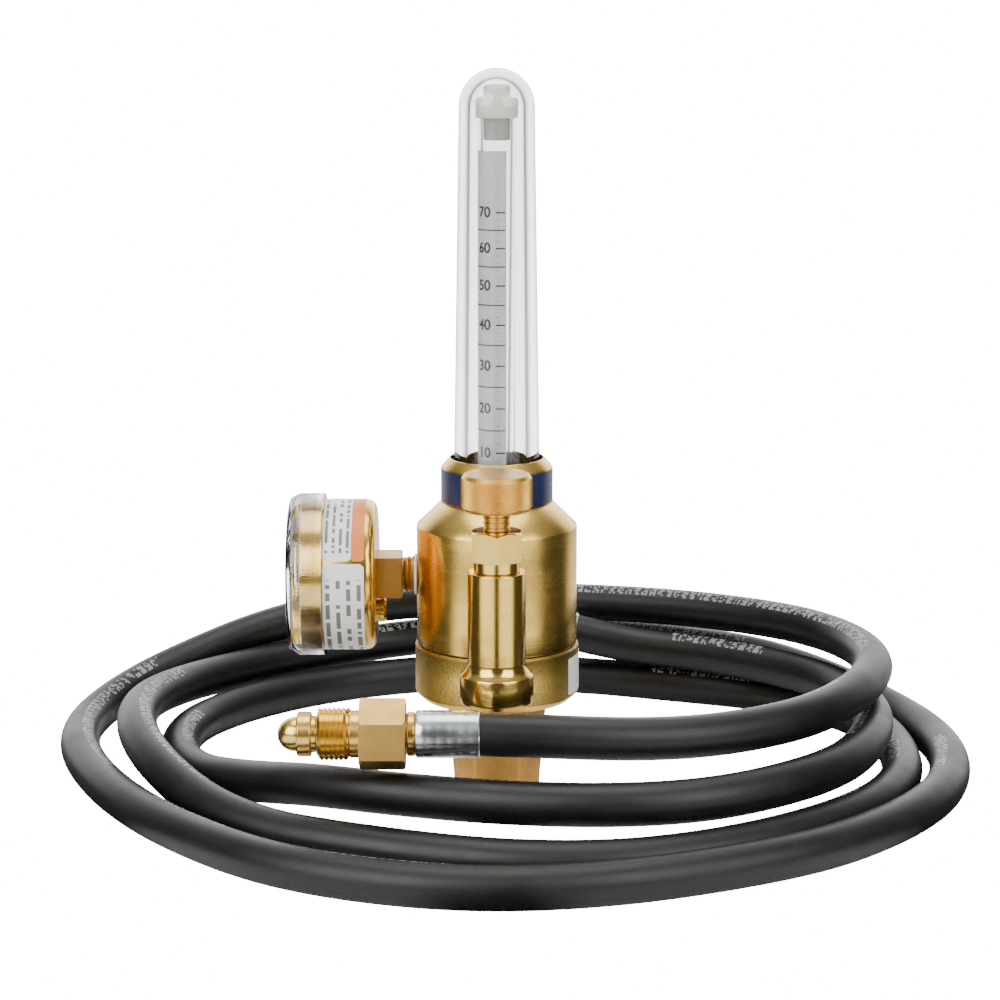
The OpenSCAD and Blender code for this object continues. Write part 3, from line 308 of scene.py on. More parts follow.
def brass_finish(name, colour, axis, lines, line_depth, rough, tarnish, forged=0.0):
    """Machined or forged brass: lathe lines along an axis, cloudy tarnish, specks and bright edges."""
    tree, shader = start_finish(name, Metallic=1.0)
    turning = place_group(tree, "turning lines", Axis=axis, Lines=lines)
    cloud = place_group(tree, "tarnish", Scale=75.0, Amount=tarnish)
    pits = place_group(tree, "pits", Scale=1100.0, Size=0.24 + 0.1 * forged)
    edge = place_group(tree, "edge wear", Reach=0.08)
    dark = (colour[0] * 0.74, colour[1] * 0.58, colour[2] * 0.42)
    darkest = (dark[0] * 0.6, dark[1] * 0.55, dark[2] * 0.5)
    patchy = mix_colours(tree, cloud["Mask"], colour, dark)
    lined = mix_colours(tree, times(tree, turning["Streaks"], 0.35), patchy, dark)
    specks = times(tree, pits["Specks"], 0.25 + 0.65 * forged)
    specked = mix_colours(tree, specks, lined, darkest)
    worn = mix_colours(tree, times(tree, edge["Mask"], 0.6), specked, scaled(colour, 1.12))
    varied = plus(tree, times(tree, cloud["Mask"], 0.16), times(tree, turning["Streaks"], 0.10))
    paint(tree, shader, worn, plus(tree, varied, rough))
    first = bump(tree, shader, turning["Height"], line_depth, 0.9)
    grain = cloud["Fine"] if forged < 0.5 else pits["Height"]
    bump(tree, shader, grain, 0.00002 + 0.00009 * forged, 0.5, first)


def plain_metal_finish(name, colour, rough, grain, spangle=0.0):
    """Plated or drawn metal with fine grain and faint clouding."""
    tree, shader = start_finish(name, Metallic=1.0)
    cloud = place_group(tree, "tarnish", Scale=160.0, Amount=0.55)
    edge = place_group(tree, "edge wear", Reach=0.08)
    patchy = mix_colours(tree, cloud["Mask"], colour, scaled(colour, 0.74))
    worn = mix_colours(tree, times(tree, edge["Mask"], 0.5), patchy, scaled(colour, 1.25))
    paint(tree, shader, worn, plus(tree, times(tree, cloud["Mask"], 0.12 + spangle), rough))
    bump(tree, shader, cloud["Fine"], grain, 0.5)


def soft_finish(name, colour, rough, grain, second=None):
    """Rubber, film, paint or moulded plastic: a matt or satin skin with faint mottling."""
    tree, shader = start_finish(name)
    cloud = place_group(tree, "tarnish", Scale=220.0, Amount=0.5)
    mottled = mix_colours(tree, cloud["Mask"], colour, second or scaled(colour, 0.86))
    paint(tree, shader, mottled, plus(tree, times(tree, cloud["Mask"], 0.10), rough))
    bump(tree, shader, cloud["Fine"], grain, 0.5)


def clear_finish(name, tint, index, rough):
    """Clear moulded plastic with faint mould ripple."""
    tree, shader = start_finish(name, Transmission_Weight=1.0, IOR=index, Metallic=0.0)
    cloud = place_group(tree, "tarnish", Scale=60.0, Amount=0.5)
    tinted = mix_colours(tree, cloud["Mask"], tint, scaled(tint, 0.985))
    paint(tree, shader, tinted, plus(tree, times(tree, cloud["Mask"], 0.02), rough))
    FINISHES[name].blend_method = "HASHED"


def hose_finish(name, colour):
    """Matt hose cover: fine spiral wrap, scuffs, and rows of pale random dots in place of print."""
    tree, shader = start_finish(name, Specular_IOR_Level=0.40)
    wrap = split(tree, add_node(tree, "ShaderNodeUVMap", uv_map="along").outputs["UV"])
    along, around = wrap["X"], wrap["Y"]
    ridge = calc(tree, "SINE", plus(tree, times(tree, along, 620.0), times(tree, around, 2 * math.pi)))
    cloud = place_group(tree, "tarnish", Scale=55.0, Amount=0.8)
    pits = place_group(tree, "pits", Scale=700.0, Size=0.18)
    base = mix_colours(tree, cloud["Mask"], colour, scaled(colour, 1.6))
    dusty = mix_colours(tree, times(tree, pits["Specks"], 0.06), base, (0.16, 0.16, 0.16))
    column = times(tree, along, 1300.0)
    line = times(tree, calc(tree, "SUBTRACT", around, 0.27), 50.0)
    spot = vector_of(tree, calc(tree, "FLOOR", column), calc(tree, "FLOOR", line), 0.0)
    dots = above(tree, chance(tree, {"Vector": spot}, "2D"), 0.38)
    stretch = calc(tree, "FLOOR", times(tree, along, 26.0))
    shown = above(tree, chance(tree, {"W": stretch}, "1D"), 0.45)
    spaced = below(tree, calc(tree, "MODULO", column, 4.0), 3.0)
    inside = times(tree, above(tree, line, 0.0), below(tree, line, 5.0))
    marks = times(tree, times(tree, times(tree, dots, shown), spaced), inside)
    fade = calc(tree, "SUBTRACT", 0.62, times(tree, cloud["Mask"], 0.3))
    marked = mix_colours(tree, times(tree, marks, fade), dusty, (0.42, 0.43, 0.44))
    paint(tree, shader, marked, plus(tree, times(tree, cloud["Mask"], 0.10), 0.40))
    first = bump(tree, shader, ridge, 0.000018, 0.35)
    bump(tree, shader, cloud["Fine"], 0.00006, 0.35, first)


def label_finish(name, colour, ink, rows, row_span):
    """Printed film: a plain ground with rows of short dashes standing for words."""
    tree, shader = start_finish(name)
    wrap = split(tree, add_node(tree, "ShaderNodeUVMap", uv_map="along").outputs["UV"])
    across = wrap["X"]
    row = times(tree, wrap["Y"], rows)
    within = calc(tree, "FRACT", row)
    inked = times(tree, above(tree, within, 0.5 - row_span / 2), below(tree, within, 0.5 + row_span / 2))
    place = plus(tree, times(tree, calc(tree, "FLOOR", row), 17.3),
                 calc(tree, "FLOOR", times(tree, across, 38.0)))
    dashed = times(tree, inked, above(tree, chance(tree, {"W": place}, "1D"), 0.26))
    margin = times(tree, above(tree, across, 0.08), below(tree, across, 0.90))
    printed = times(tree, times(tree, dashed, margin), 0.85)
    cloud = place_group(tree, "tarnish", Scale=200.0, Amount=0.3)
    ground = mix_colours(tree, cloud["Mask"], colour, scaled(colour, 0.93))
    paint(tree, shader, mix_colours(tree, printed, ground, ink),
          plus(tree, times(tree, cloud["Mask"], 0.1), 0.32))
    bump(tree, shader, cloud["Fine"], 0.00001, 0.4)


def make_finishes(colours):
    for make in (turning_group, tarnish_group, pits_group, edge_group):
        make()
    brass_finish("brass_turned", tuple(colours.turned), (0, 0, 1), 2600.0, 0.000012, 0.17, 0.6)
    brass_finish("brass_valve", scaled(tuple(colours.turned), 1.04), (0, 0, 1), 1800.0, 0.000008, 0.09, 0.5)
    brass_finish("brass_tan", (0.60, 0.39, 0.11), (1, 0, 0), 900.0, 0.00002, 0.30, 0.6, 0.2)
    brass_finish("brass_forged", tuple(colours.forged), (0.3, 0.2, 0.9), 500.0, 0.00001, 0.36, 0.9, 1.0)
    brass_finish("brass_nub", (0.78, 0.46, 0.13), (0.2, 0.9, 0.3), 500.0, 0.00001, 0.42, 0.7, 0.7)
    brass_finish("brass_pale", tuple(colours.pale), (1, 0, 0), 2400.0, 0.00001, 0.16, 0.35)
    brass_finish("brass_pale_y", tuple(colours.pale), (0, 1, 0), 2400.0, 0.00001, 0.17, 0.35)
    brass_finish("brass_case", (0.84, 0.57, 0.13), (1, 0, 0), 1400.0, 0.000008, 0.13, 0.45)
    brass_finish("brass_knob", tuple(colours.knob), (0, 0, 1), 2000.0, 0.00001, 0.26, 0.5)
    brass_finish("brass_orange", (0.42, 0.235, 0.06), (1, 0, 0), 900.0, 0.00001, 0.30, 0.9, 0.4)
    brass_finish("bronze_tube", (0.72, 0.45, 0.20), (1, 0, 0), 900.0, 0.00001, 0.30, 0.5)
    brass_finish("sintered", (0.60, 0.40, 0.22), (0, 1, 0), 300.0, 0.00001, 0.55, 0.6, 1.0)
    plain_metal_finish("steel", (0.62, 0.63, 0.64), 0.24, 0.00001)
    plain_metal_finish("zinc", tuple(colours.zinc), 0.17, 0.00002, 0.1)
    soft_finish("nitrile", (0.03, 0.03, 0.032), 0.55, 0.00003)
    soft_finish("ball", (0.02, 0.02, 0.023), 0.22, 0.000004)
    soft_finish("ivory", tuple(colours.ivory), 0.30, 0.00001)
    soft_finish("seat_white", (0.85, 0.85, 0.83), 0.35, 0.00001)
    soft_finish("label_orange", tuple(colours.flash), 0.35, 0.00001)
    soft_finish("label_blue", tuple(colours.band), 0.34, 0.000006, second=(0.012, 0.02, 0.09))
    soft_finish("scale_film", (0.74, 0.75, 0.77), 0.32, 0.000004)
    soft_finish("print_black", (0.02, 0.02, 0.022), 0.5, 0.00001, second=(0.035, 0.035, 0.04))
    soft_finish("sealant", (0.86, 0.87, 0.86), 0.5, 0.00005)
    soft_finish("dial_white", (0.82, 0.82, 0.80), 0.42, 0.00001)
    soft_finish("pointer_black", (0.015, 0.015, 0.016), 0.4, 0.00001)
    label_finish("label_white", tuple(colours.label), (0.05, 0.05, 0.05), 4.0, 0.42)
    label_finish("label_plain", tuple(colours.label), (0.5, 0.5, 0.5), 1.0, 0.0)
    clear_finish("clear", (0.975, 0.98, 0.99), 1.49, 0.01)
    clear_finish("clear_inner", (0.965, 0.975, 0.985), 1.49, 0.02)
    hose_finish("hose_rubber", tuple(colours.hose))


# ---- mesh helpers ----

def add_object(name, mesh):
    made = bpy.data.objects.new(name, mesh)
    bpy.context.scene.collection.objects.link(made)
    return made


def clean(mesh, sharp, merge=None, flat=None, outward=True):
    """Joins doubled points, makes flats whole, turns the faces outward and marks the sharp edges."""
    loose = bmesh.new()
    loose.from_mesh(mesh)
    if merge is not None:
        bmesh.ops.remove_doubles(loose, verts=loose.verts, dist=merge)
    if flat is not None:
        bmesh.ops.dissolve_limit(loose, angle_limit=flat, verts=loose.verts, edges=loose.edges)
    if outward:
        bmesh.ops.recalc_face_normals(loose, faces=loose.faces)
    loose.to_mesh(mesh)
    loose.free()
    if mesh.has_custom_normals:
        mesh.normals_split_custom_set([(0, 0, 0)] * len(mesh.loops))
    mesh.shade_smooth()
    mesh.set_sharp_from_angle(angle=math.radians(sharp))


def build(name, points, faces, place=UPRIGHT, sharp=32.0):
    """A mesh object from points in millimetres, set in its place, smooth but for its sharp edges."""
    mesh = bpy.data.meshes.new(name)
    mesh.from_pydata([(place @ Vector(p)) * MM for p in points], [], faces)
    mesh.validate()
    clean(mesh, sharp, merge=1e-7)
    return add_object(name, mesh)


def bands(rows, steps, base=0):
    """Four-sided faces between rows of points that run round, counted from base."""
    return [[base + row * steps + k, base + row * steps + (k + 1) % steps,
             base + (row + 1) * steps + (k + 1) % steps, base + (row + 1) * steps + k]
            for row in range(rows - 1) for k in range(steps)]


def turned_parts(profile, steps, closed=False):
    """Points and faces of a profile of (radius, height) turned round +Z. A closed profile makes a ring."""
    points, rows, faces = [], [], []
    for radius, height in profile:
        if radius < 1e-6:
            rows.append([len(points)] * steps)
            points.append((0.0, 0.0, height))
            continue
        rows.append(list(range(len(points), len(points) + steps)))
        for k in range(steps):
            angle = 2 * math.pi * k / steps
            points.append((radius * math.cos(angle), radius * math.sin(angle), height))
    pairs = list(zip(rows, rows[1:])) + ([(rows[-1], rows[0])] if closed else [])
    for low, high in pairs:
        for k in range(steps):
            j = (k + 1) % steps
            corners = [low[k], low[j], high[j], high[k]]
            corners = [c for i, c in enumerate(corners) if c not in corners[:i]]
            if len(corners) > 2:
                faces.append(corners)
    return points, faces


def arc(cx, cz, radius, start, stop, steps):
    """Points of an arc in a profile, from one angle in degrees to another."""
    angles = [math.radians(start + (stop - start) * i / steps) for i in range(steps + 1)]
    return [(cx + radius * math.cos(a), cz + radius * math.sin(a)) for a in angles]


def nose(cx, cz, wide, tall, angles):
    """Points of a rounded nose in a profile, at these angles in radians."""
    return [(cx + wide * math.cos(a), cz + tall * math.sin(a)) for a in angles]


def turned(name, profile, place=UPRIGHT, closed=False, steps=None):
    steps = steps or bpy.context.scene.regulator_sizes.round_steps
    return build(name, *turned_parts(profile, steps, closed), place)


def hex_parts(flats, low, high, low_cham, high_cham, turn=0.0):
    """A hexagonal bar whose corners are turned down by cones at its ends."""
    half = flats / 2
    corner = half / math.cos(math.pi / 6)
    steps = 72
    loops = []
    for height, cham, side in ((low, low_cham, 1), (high, high_cham, -1)):
        flat_r = corner - cham
        outline, circle = [], []
        for k in range(steps):
            angle = 2 * math.pi * k / steps
            local = (angle + math.pi / 6) % (math.pi / 3) - math.pi / 6
            radius = half / math.cos(local)
            drop = max(0.0, radius - flat_r) * 0.58
            inner = min(flat_r, radius)
            spun = angle + turn + math.pi / 6
            outline.append((radius * math.cos(spun), radius * math.sin(spun), height + side * drop))
            circle.append((inner * math.cos(spun), inner * math.sin(spun), height))
        loops += [circle, outline][::side]
    points = [p for loop in loops for p in loop]
    ends = [list(reversed(range(steps))), [3 * steps + k for k in range(steps)]]
    return points, bands(4, steps) + ends


def joined(*parts):
    """Several (points, faces) solids as one, with the later ones' faces renumbered."""
    points, faces = [], []
    for some_points, some_faces in parts:
        base = len(points)
        points += some_points
        faces += [[base + i for i in face] for face in some_faces]
    return points, faces


def curved_patch(name, radius, thick, low, high, start, stop, place=UPRIGHT, steps=48, round_by=0.8):
    """A film wrapped on a cylinder, with rounded corners and a UV map that runs over it."""
    points, faces, spots = [], [], []
    for i in range(steps + 1):
        share = i / steps
        angle = math.radians(start + (stop - start) * share)
        from_end = min(share, 1 - share) * math.radians(stop - start) * radius
        inset = 0.0
        if from_end < round_by:
            inset = round_by - math.sqrt(max(0.0, round_by ** 2 - (round_by - from_end) ** 2))
        for r in (radius, radius + thick):
            for share_up in (0.0, 0.5, 1.0):
                z = low + inset + (high - low - 2 * inset) * share_up
                points.append((r * math.cos(angle), r * math.sin(angle), z))
                spots.append((share, (z - low) / (high - low)))
    for i in range(steps):
        a, b = 6 * i, 6 * (i + 1)
        for s, t in ((0, 1), (1, 2)):
            faces.append([a + s, a + t, b + t, b + s])
            faces.append([a + 3 + s, b + 3 + s, b + 3 + t, a + 3 + t])
        faces.append([a, b, b + 3, a + 3])
        faces.append([a + 2, a + 5, b + 5, b + 2])
    for a in (0, 6 * steps):
        faces.append([a, a + 3, a + 4, a + 5, a + 2, a + 1])
    mesh = bpy.data.meshes.new(name)
    mesh.from_pydata([(place @ Vector(p)) * MM for p in points], [], faces)
    layer = mesh.uv_layers.new(name="along")
    for loop in mesh.loops:
        layer.data[loop.index].uv = spots[loop.vertex_index]
    clean(mesh, 40)
    return add_object(name, mesh)


def from_node(node, name):
    """A copy of a frame node's mesh with its loose triangles joined and its flats made whole."""
    mesh = NODES[node].data.copy()
    mesh.name = name
    clean(mesh, 28, merge=1e-6, flat=0.002, outward=False)
    return add_object(name, mesh)


def soften(piece, width=None, angle=32.0):
    """Small rounding on a piece's sharp edges, so that they catch the light."""
    bevel = piece.modifiers.new("rounded edges", "BEVEL")
    bevel.width = width or bpy.context.scene.regulator_sizes.edge_round
    bevel.segments = 2
    bevel.limit_method = "ANGLE"
    bevel.angle_limit = math.radians(angle)
    bevel.use_clamp_overlap = True
    bevel.harden_normals = True


def coat(piece, finish):
    piece.data.materials.clear()
    piece.data.materials.append(FINISHES[finish])


def settle(piece, finish, node):
    """Gives a piece its finish and the body of the frame node that it stands for, and hides that node."""
    coat(piece, finish)
    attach(piece, BODY_OF[node])
    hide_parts(node)


def ride_along(piece, finish, body):
    """Gives a piece that stands for no frame node its finish and body."""
    coat(piece, finish)
    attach(piece, body)
    return piece


def text_mesh(words, size, bold=0.0):
    """A word as a flat mesh in millimetres, centred on the origin in the XY plane."""
    curve = bpy.data.curves.new("word", "FONT")
    curve.body = words
    curve.size = size
    curve.offset = bold * size
    curve.align_x = "CENTER"
    curve.align_y = "CENTER"
    holder = add_object("word", curve)
    graph = bpy.context.evaluated_depsgraph_get()
    graph.update()
    mesh = bpy.data.meshes.new_from_object(holder.evaluated_get(graph))
    points = [v.co.copy() for v in mesh.vertices]
    faces = [list(p.vertices) for p in mesh.polygons]
    bpy.data.objects.remove(holder)
    bpy.data.curves.remove(curve)
    bpy.data.meshes.remove(mesh)
    return points, faces


def thick_faces(points, faces, push):
    """Front faces and their copies moved by push, joined along the outline into a closed solid."""
    count = len(points)
    both = list(points) + [push(p) for p in points]
    made = [list(f) for f in faces] + [[i + count for i in reversed(f)] for f in faces]
    edges = dict.fromkeys((a, b) for face in faces for a, b in zip(face, face[1:] + face[:1]))
    made += [[b, a, a + count, b + count] for a, b in edges if (b, a) not in edges]
    return both, made


# ---- geometry trees ----

def tree_start(name, inputs):
    """A new tree and its given sockets, one for each named number and one for the finish."""
    tree = bpy.data.node_groups.new(name, "GeometryNodeTree")
    tree.interface.new_socket(name="Geometry", in_out="OUTPUT", socket_type="NodeSocketGeometry")
    for label, value in inputs.items():
        kind = "NodeSocketInt" if isinstance(value, int) else "NodeSocketFloat"
        tree.interface.new_socket(name=label, in_out="INPUT", socket_type=kind).default_value = value
    tree.interface.new_socket(name="Finish", in_out="INPUT", socket_type="NodeSocketMaterial")
    return tree, add_node(tree, "NodeGroupInput").outputs


def tree_end(tree, given, geometry):
    whole = add_node(tree, "GeometryNodeRealizeInstances", {0: geometry}).outputs[0]
    coated = add_node(tree, "GeometryNodeSetMaterial", {"Geometry": whole, "Material": given["Finish"]})
    add_node(tree, "NodeGroupOutput", {0: coated.outputs[0]})
    return tree


def number_of(tree):
    return add_node(tree, "GeometryNodeInputIndex").outputs[0]


def stepped(tree, index, step, first):
    return plus(tree, times(tree, index, step), first)


def on_circle(tree, angle, radius, height):
    return vector_of(tree, times(tree, calc(tree, "COSINE", angle), radius),
                     times(tree, calc(tree, "SINE", angle), radius), height)


def repeated(tree, count, position, shape, rotation=None):
    """Copies of a shape at computed places."""
    dots = add_node(tree, "GeometryNodePoints", {"Count": count, "Position": position}).outputs[0]
    inputs = {"Points": dots, "Instance": shape}
    if rotation is not None:
        inputs["Rotation"] = rotation
    return add_node(tree, "GeometryNodeInstanceOnPoints", inputs).outputs[0]


def swept(tree, curve, radius):
    """A closed bar of square section along a curve."""
    section = add_node(tree, "GeometryNodeCurvePrimitiveCircle", {"Resolution": 4, "Radius": radius})
    return add_node(tree, "GeometryNodeCurveToMesh", {
        "Fill Caps": True, "Curve": curve, "Profile Curve": section.outputs[0]}).outputs[0]


def ring_tree():
    """Small bars set round an arc: ribs, ticks and notches."""
    tree, given = tree_start("bars round an arc", {
        "Radius": 10.0, "Height": 0.0, "Count": 12, "Start": 0.0, "Step": 0.5, "Deep": 0.5, "Wide": 0.5,
        "Tall": 1.0})
    angle = stepped(tree, number_of(tree), given["Step"], given["Start"])
    bar = add_node(tree, "GeometryNodeMeshCube", {
        "Size": vector_of(tree, given["Deep"], given["Wide"], given["Tall"])})
    return tree_end(tree, given, repeated(
        tree, given["Count"], on_circle(tree, angle, given["Radius"], given["Height"]),
        bar.outputs["Mesh"], vector_of(tree, 0.0, 0.0, angle)))


def knurl_tree():
    """Rows of four-sided points round a cylinder, each row set half a step on."""
    tree, given = tree_start("diamond knurl", {
        "Radius": 10.0, "Bottom": 0.0, "Around": 60, "Rows": 10, "Rise": 0.5, "Size": 0.5, "Depth": 0.3})
    index, around = number_of(tree), given["Around"]
    row = calc(tree, "FLOOR", calc(tree, "DIVIDE", index, around))
    column = calc(tree, "SUBTRACT", index, times(tree, row, around))
    half = times(tree, calc(tree, "MODULO", row, 2.0), 0.5)
    angle = times(tree, calc(tree, "DIVIDE", plus(tree, column, half), around), 2 * math.pi)
    rise = stepped(tree, row, given["Rise"], given["Bottom"])
    point = add_node(tree, "GeometryNodeMeshCone", {
        "Vertices": 4, "Radius Top": 0.0, "Radius Bottom": given["Size"], "Depth": given["Depth"]})
    return tree_end(tree, given, repeated(
        tree, times(tree, around, given["Rows"]), on_circle(tree, angle, given["Radius"], rise),
        point.outputs["Mesh"], vector_of(tree, 0.0, math.pi / 2, angle)))


def thread_tree():
    """A ridge of diamond section that climbs round a cylinder as a right-hand screw."""
    tree, given = tree_start("thread ridge", {
        "Radius": 8.0, "Pitch": 1.4, "Turns": 6.0, "Bottom": 0.0, "Half Width": 0.7, "Steps": 300})
    line = add_node(tree, "GeometryNodeMeshLine", {"Count": given["Steps"]}).outputs[0]
    turns = times(tree, calc(tree, "DIVIDE", number_of(tree), given["Steps"]), given["Turns"])
    rise = stepped(tree, turns, given["Pitch"], given["Bottom"])
    place = on_circle(tree, times(tree, turns, 2 * math.pi), given["Radius"], rise)
    wound = add_node(tree, "GeometryNodeSetPosition", {"Geometry": line, "Position": place}).outputs[0]
    curve = add_node(tree, "GeometryNodeMeshToCurve", {0: wound}).outputs[0]
    upright = add_node(tree, "GeometryNodeSetCurveNormal", {"Curve": curve}, mode="Z_UP").outputs[0]
    return tree_end(tree, given, swept(tree, upright, given["Half Width"]))


def scale_tree():
    """Thin curved lines at rising heights on a tube, closer together towards the top."""
    tree, given = tree_start("scale lines", {
        "Radius": 6.0, "Start": 0.0, "Sweep": 0.5, "First": 10.0, "Step": 10.0, "Count": 7,
        "Zero Height": SCALE_ZERO, "Rise": SCALE_RISE, "Crowding": SCALE_CROWDING, "Thick": 0.12})
    value = stepped(tree, number_of(tree), given["Step"], given["First"])
    linear = times(tree, value, given["Rise"])
    square = times(tree, times(tree, value, value), given["Crowding"])
    height = plus(tree, plus(tree, linear, square), given["Zero Height"])
    bow = add_node(tree, "GeometryNodeCurveArc", {
        "Resolution": 24, "Radius": given["Radius"], "Start Angle": given["Start"],
        "Sweep Angle": given["Sweep"]})
    return tree_end(tree, given, repeated(
        tree, given["Count"], vector_of(tree, 0.0, 0.0, height),
        swept(tree, bow.outputs[0], given["Thick"])))


TREE_MAKERS = {"ring": ring_tree, "knurl": knurl_tree, "thread": thread_tree, "scale": scale_tree}
TREES = {}


def grown(name, kind, values, finish, place=UPRIGHT):
    """The plain mesh that a geometry tree makes with these values, set in its place."""
    if kind not in TREES:
        TREES[kind] = TREE_MAKERS[kind]()
    tree = TREES[kind]
    seed = add_object(name + "_seed", bpy.data.meshes.new(name + "_seed"))
    step = seed.modifiers.new("grow", "NODES")
    step.node_group = tree
    values = dict(values, Finish=FINISHES[finish])
    for item in tree.interface.items_tree:
        if item.in_out == "INPUT" and item.name in values:
            step[item.identifier] = values[item.name]
    graph = bpy.context.evaluated_depsgraph_get()
    graph.update()
    mesh = bpy.data.meshes.new_from_object(seed.evaluated_get(graph))
    mesh.name = name
    bpy.data.objects.remove(seed)
    if not mesh.vertices:
        raise RuntimeError(f"{name}: the tree {kind} made nothing")
    mesh.transform(Matrix.Scale(MM, 4) @ place)
    return add_object(name, mesh)


def thread_ridge(name, crest, pitch, bottom, top, finish, place, body, inside=False):
    """Thread ridges from one height to another on a cylinder, or in a hole."""
    half = pitch * 0.52
    turns = (top - bottom - 2 * half) / pitch
    radius = crest - half if not inside else crest + half * 0.5
    made = grown(name, "thread", {
        "Radius": radius, "Pitch": pitch, "Turns": turns, "Bottom": bottom + half,
        "Half Width": half, "Steps": int(turns * 48)}, finish, place)
    made.data.shade_smooth()
    made.data.set_sharp_from_angle(angle=math.radians(40))
    return ride_along(made, finish, body)


# ---- operators ----

class REGULATOR_OT_finishes(bpy.types.Operator):
    """Make every finish and give the frame's own pieces theirs"""
    bl_idname = "regulator.finishes"
    bl_label = "Finishes"

    def execute(self, context):
        make_finishes(context.scene.regulator_colours)
        for node, piece in NODES.items():
            coat(piece, SLOT_OF[node])
        return {"FINISHED"}


class REGULATOR_OT_camera(bpy.types.Operator):
    """Set up the camera in front of the valve"""
    bl_idname = "regulator.camera"
    bl_label = "Camera"

    def execute(self, context):
        stage = context.scene.regulator_stage
        lens = bpy.data.cameras.new("camera")
        lens.lens = stage.camera_lens
        lens.sensor_width = 36.0
        lens.clip_start = 0.01
        camera = bpy.data.objects.new("camera", lens)
        context.scene.collection.objects.link(camera)
        camera.location = (0.001, -stage.camera_distance, stage.camera_height)
        camera.rotation_euler = (math.radians(90) - stage.camera_pitch, 0, 0)
        context.scene.camera = camera
        return {"FINISHED"}


def smooth_route(points, steps):
    """Points of a smooth curve through the route's points, evenly enough spaced for a tube."""
    made = []
    pts = [Vector(p) for p in points]
    for i in range(len(pts) - 1):
        before = pts[i - 1] if i > 0 else pts[i] * 2 - pts[i + 1]
        after = pts[i + 2] if i + 2 < len(pts) else pts[i + 1] * 2 - pts[i]
        a, b = pts[i], pts[i + 1]
        for k in range(steps):
            t = k / steps
            made.append(0.5 * ((2 * a) + (b - before) * t + (2 * before - 5 * a + 4 * b - after) * t * t
                               + (3 * a - before - 3 * b + after) * t ** 3))
    made.append(pts[-1])
    for _ in range(6):
        eased = list(made)
        for i in range(steps * 2, len(made) - steps * 2):
            eased[i] = made[i] * 0.5 + (made[i - 1] + made[i + 1]) * 0.25
        made = eased
    return made


class REGULATOR_OT_hose(bpy.types.Operator):
    """Lay the hose in its coil and make its two end fittings"""
    bl_idname = "regulator.hose"
    bl_label = "Hose"

    def execute(self, context):
        sizes = context.scene.regulator_sizes
        first, last = (place.to_3x3() @ Vector((0, 0, HOSE_IN)) for place in (FRONT, REAR))
        route = [Vector(ROUTE[0]) + first, Vector(ROUTE[0]) + first / 2] + [Vector(p) for p in ROUTE]
        route += [Vector(ROUTE[-1]) + last / 2, Vector(ROUTE[-1]) + last]
        path = smooth_route(route, 7)
        path = [Vector((p.x, p.y, max(p.z, 0.0065))) for p in path]
        radius, around = sizes.hose_diameter / 2, 40
        points, spots = [], []
        travelled = 0.0
        for i, here in enumerate(path):
            if i:
                travelled += (here - path[i - 1]).length
            ahead = (path[min(i + 1, len(path) - 1)] - path[max(i - 1, 0)]).normalized()
            side = ahead.cross(Vector((0, 0, 1))).normalized()
            up = side.cross(ahead)
            for k in range(around):
                angle = 2 * math.pi * k / around
                points.append(here + side * radius * math.cos(angle) + up * radius * math.sin(angle))
                spots.append((travelled, k / around))
        faces = bands(len(path), around) + [list(reversed(range(around)))]
        faces.append([(len(path) - 1) * around + k for k in range(around)])
        mesh = bpy.data.meshes.new("hose_cover")
        mesh.from_pydata(points, [], faces)
        layer = mesh.uv_layers.new(name="along")
        for face in mesh.polygons:
            wraps = {spots[v][1] for v in face.vertices}
            for loop in face.loop_indices:
                u, v = spots[mesh.loops[loop].vertex_index]
                if v == 0.0 and max(wraps) > 0.9:
                    v = 1.0
                layer.data[loop].uv = (u, v)
        clean(mesh, 60)
        hose = add_object("hose_cover", mesh)
        settle(hose, "hose_rubber", "hose")
        ends = self.fitting("front", FRONT) + self.fitting("rear", REAR)
        return {"FINISHED"}

    def fitting(self, end, place):
        """One end's nipple, nut and ferrule, with their places along the fitting in millimetres."""
        sizes = bpy.context.scene.regulator_sizes
        pitch = sizes.thread_pitch / MM
        nut = f"hose_{end}_nut"
        nipple = turned(f"{end}_nipple", [
            (0, 19), (6.2, 19), (6.6, 19.4), (6.6, 21.1), (6.3, 21.45), (4.2, 21.45), (4.2, 48.3),
            (5.4, 48.3), (5.4, 49.6), (6.3, 49.6), (6.6, 49.9), (6.6, 53.5), (6.25, 53.9), (5.2, 53.9)]
            + nose(0.8, 53.95, 4.4, 5.55, (0.1, 0.3, 0.5, 0.7, 0.9, 1.1, 1.3))
            + [(1.7, 59.6), (1.6, 59.4), (1.6, 40), (0, 40)], place, steps=96)
        settle(nipple, "brass_pale", f"hose_{end}_nipple")
        soften(nipple, 0.00015)
        body = build(f"{end}_hex", *hex_parts(19.05, 21.8, 35.5, 0.9, 0.9), place)
        settle(body, "brass_tan", nut)
        soften(body, 0.00018)
        core = turned(f"{end}_core", [(4.28, 35.4), (7.0, 35.4), (7.0, 38.0), (6.6, 38.6), (6.55, 47.6),
                                      (6.2, 48.0), (4.28, 48.0)], place, True, 96)
        ride_along(core, "brass_pale", nut)
        ridge = thread_ridge(f"{end}_thread", 7.94, pitch, 38.0, 48.0, "brass_pale", place, nut)
        crimps = []
        for k in range(5):
            at = 3.4 + 3.1 * k
            crimps += [(7.1, at - 0.5), (7.07, at), (7.1, at + 0.5)]
        sleeve = turned(f"{end}_ferrule", [(6.52, 0), (6.9, 0), (7.1, 0.3)] + crimps + [
            (7.1, 18.3), (6.7, 18.95), (2.7, 18.95), (2.7, 17.8), (6.52, 17.8)], place, True, 96)
        settle(sleeve, "zinc", f"hose_{end}_ferrule")
        return [nipple, body, core, ridge, sleeve]


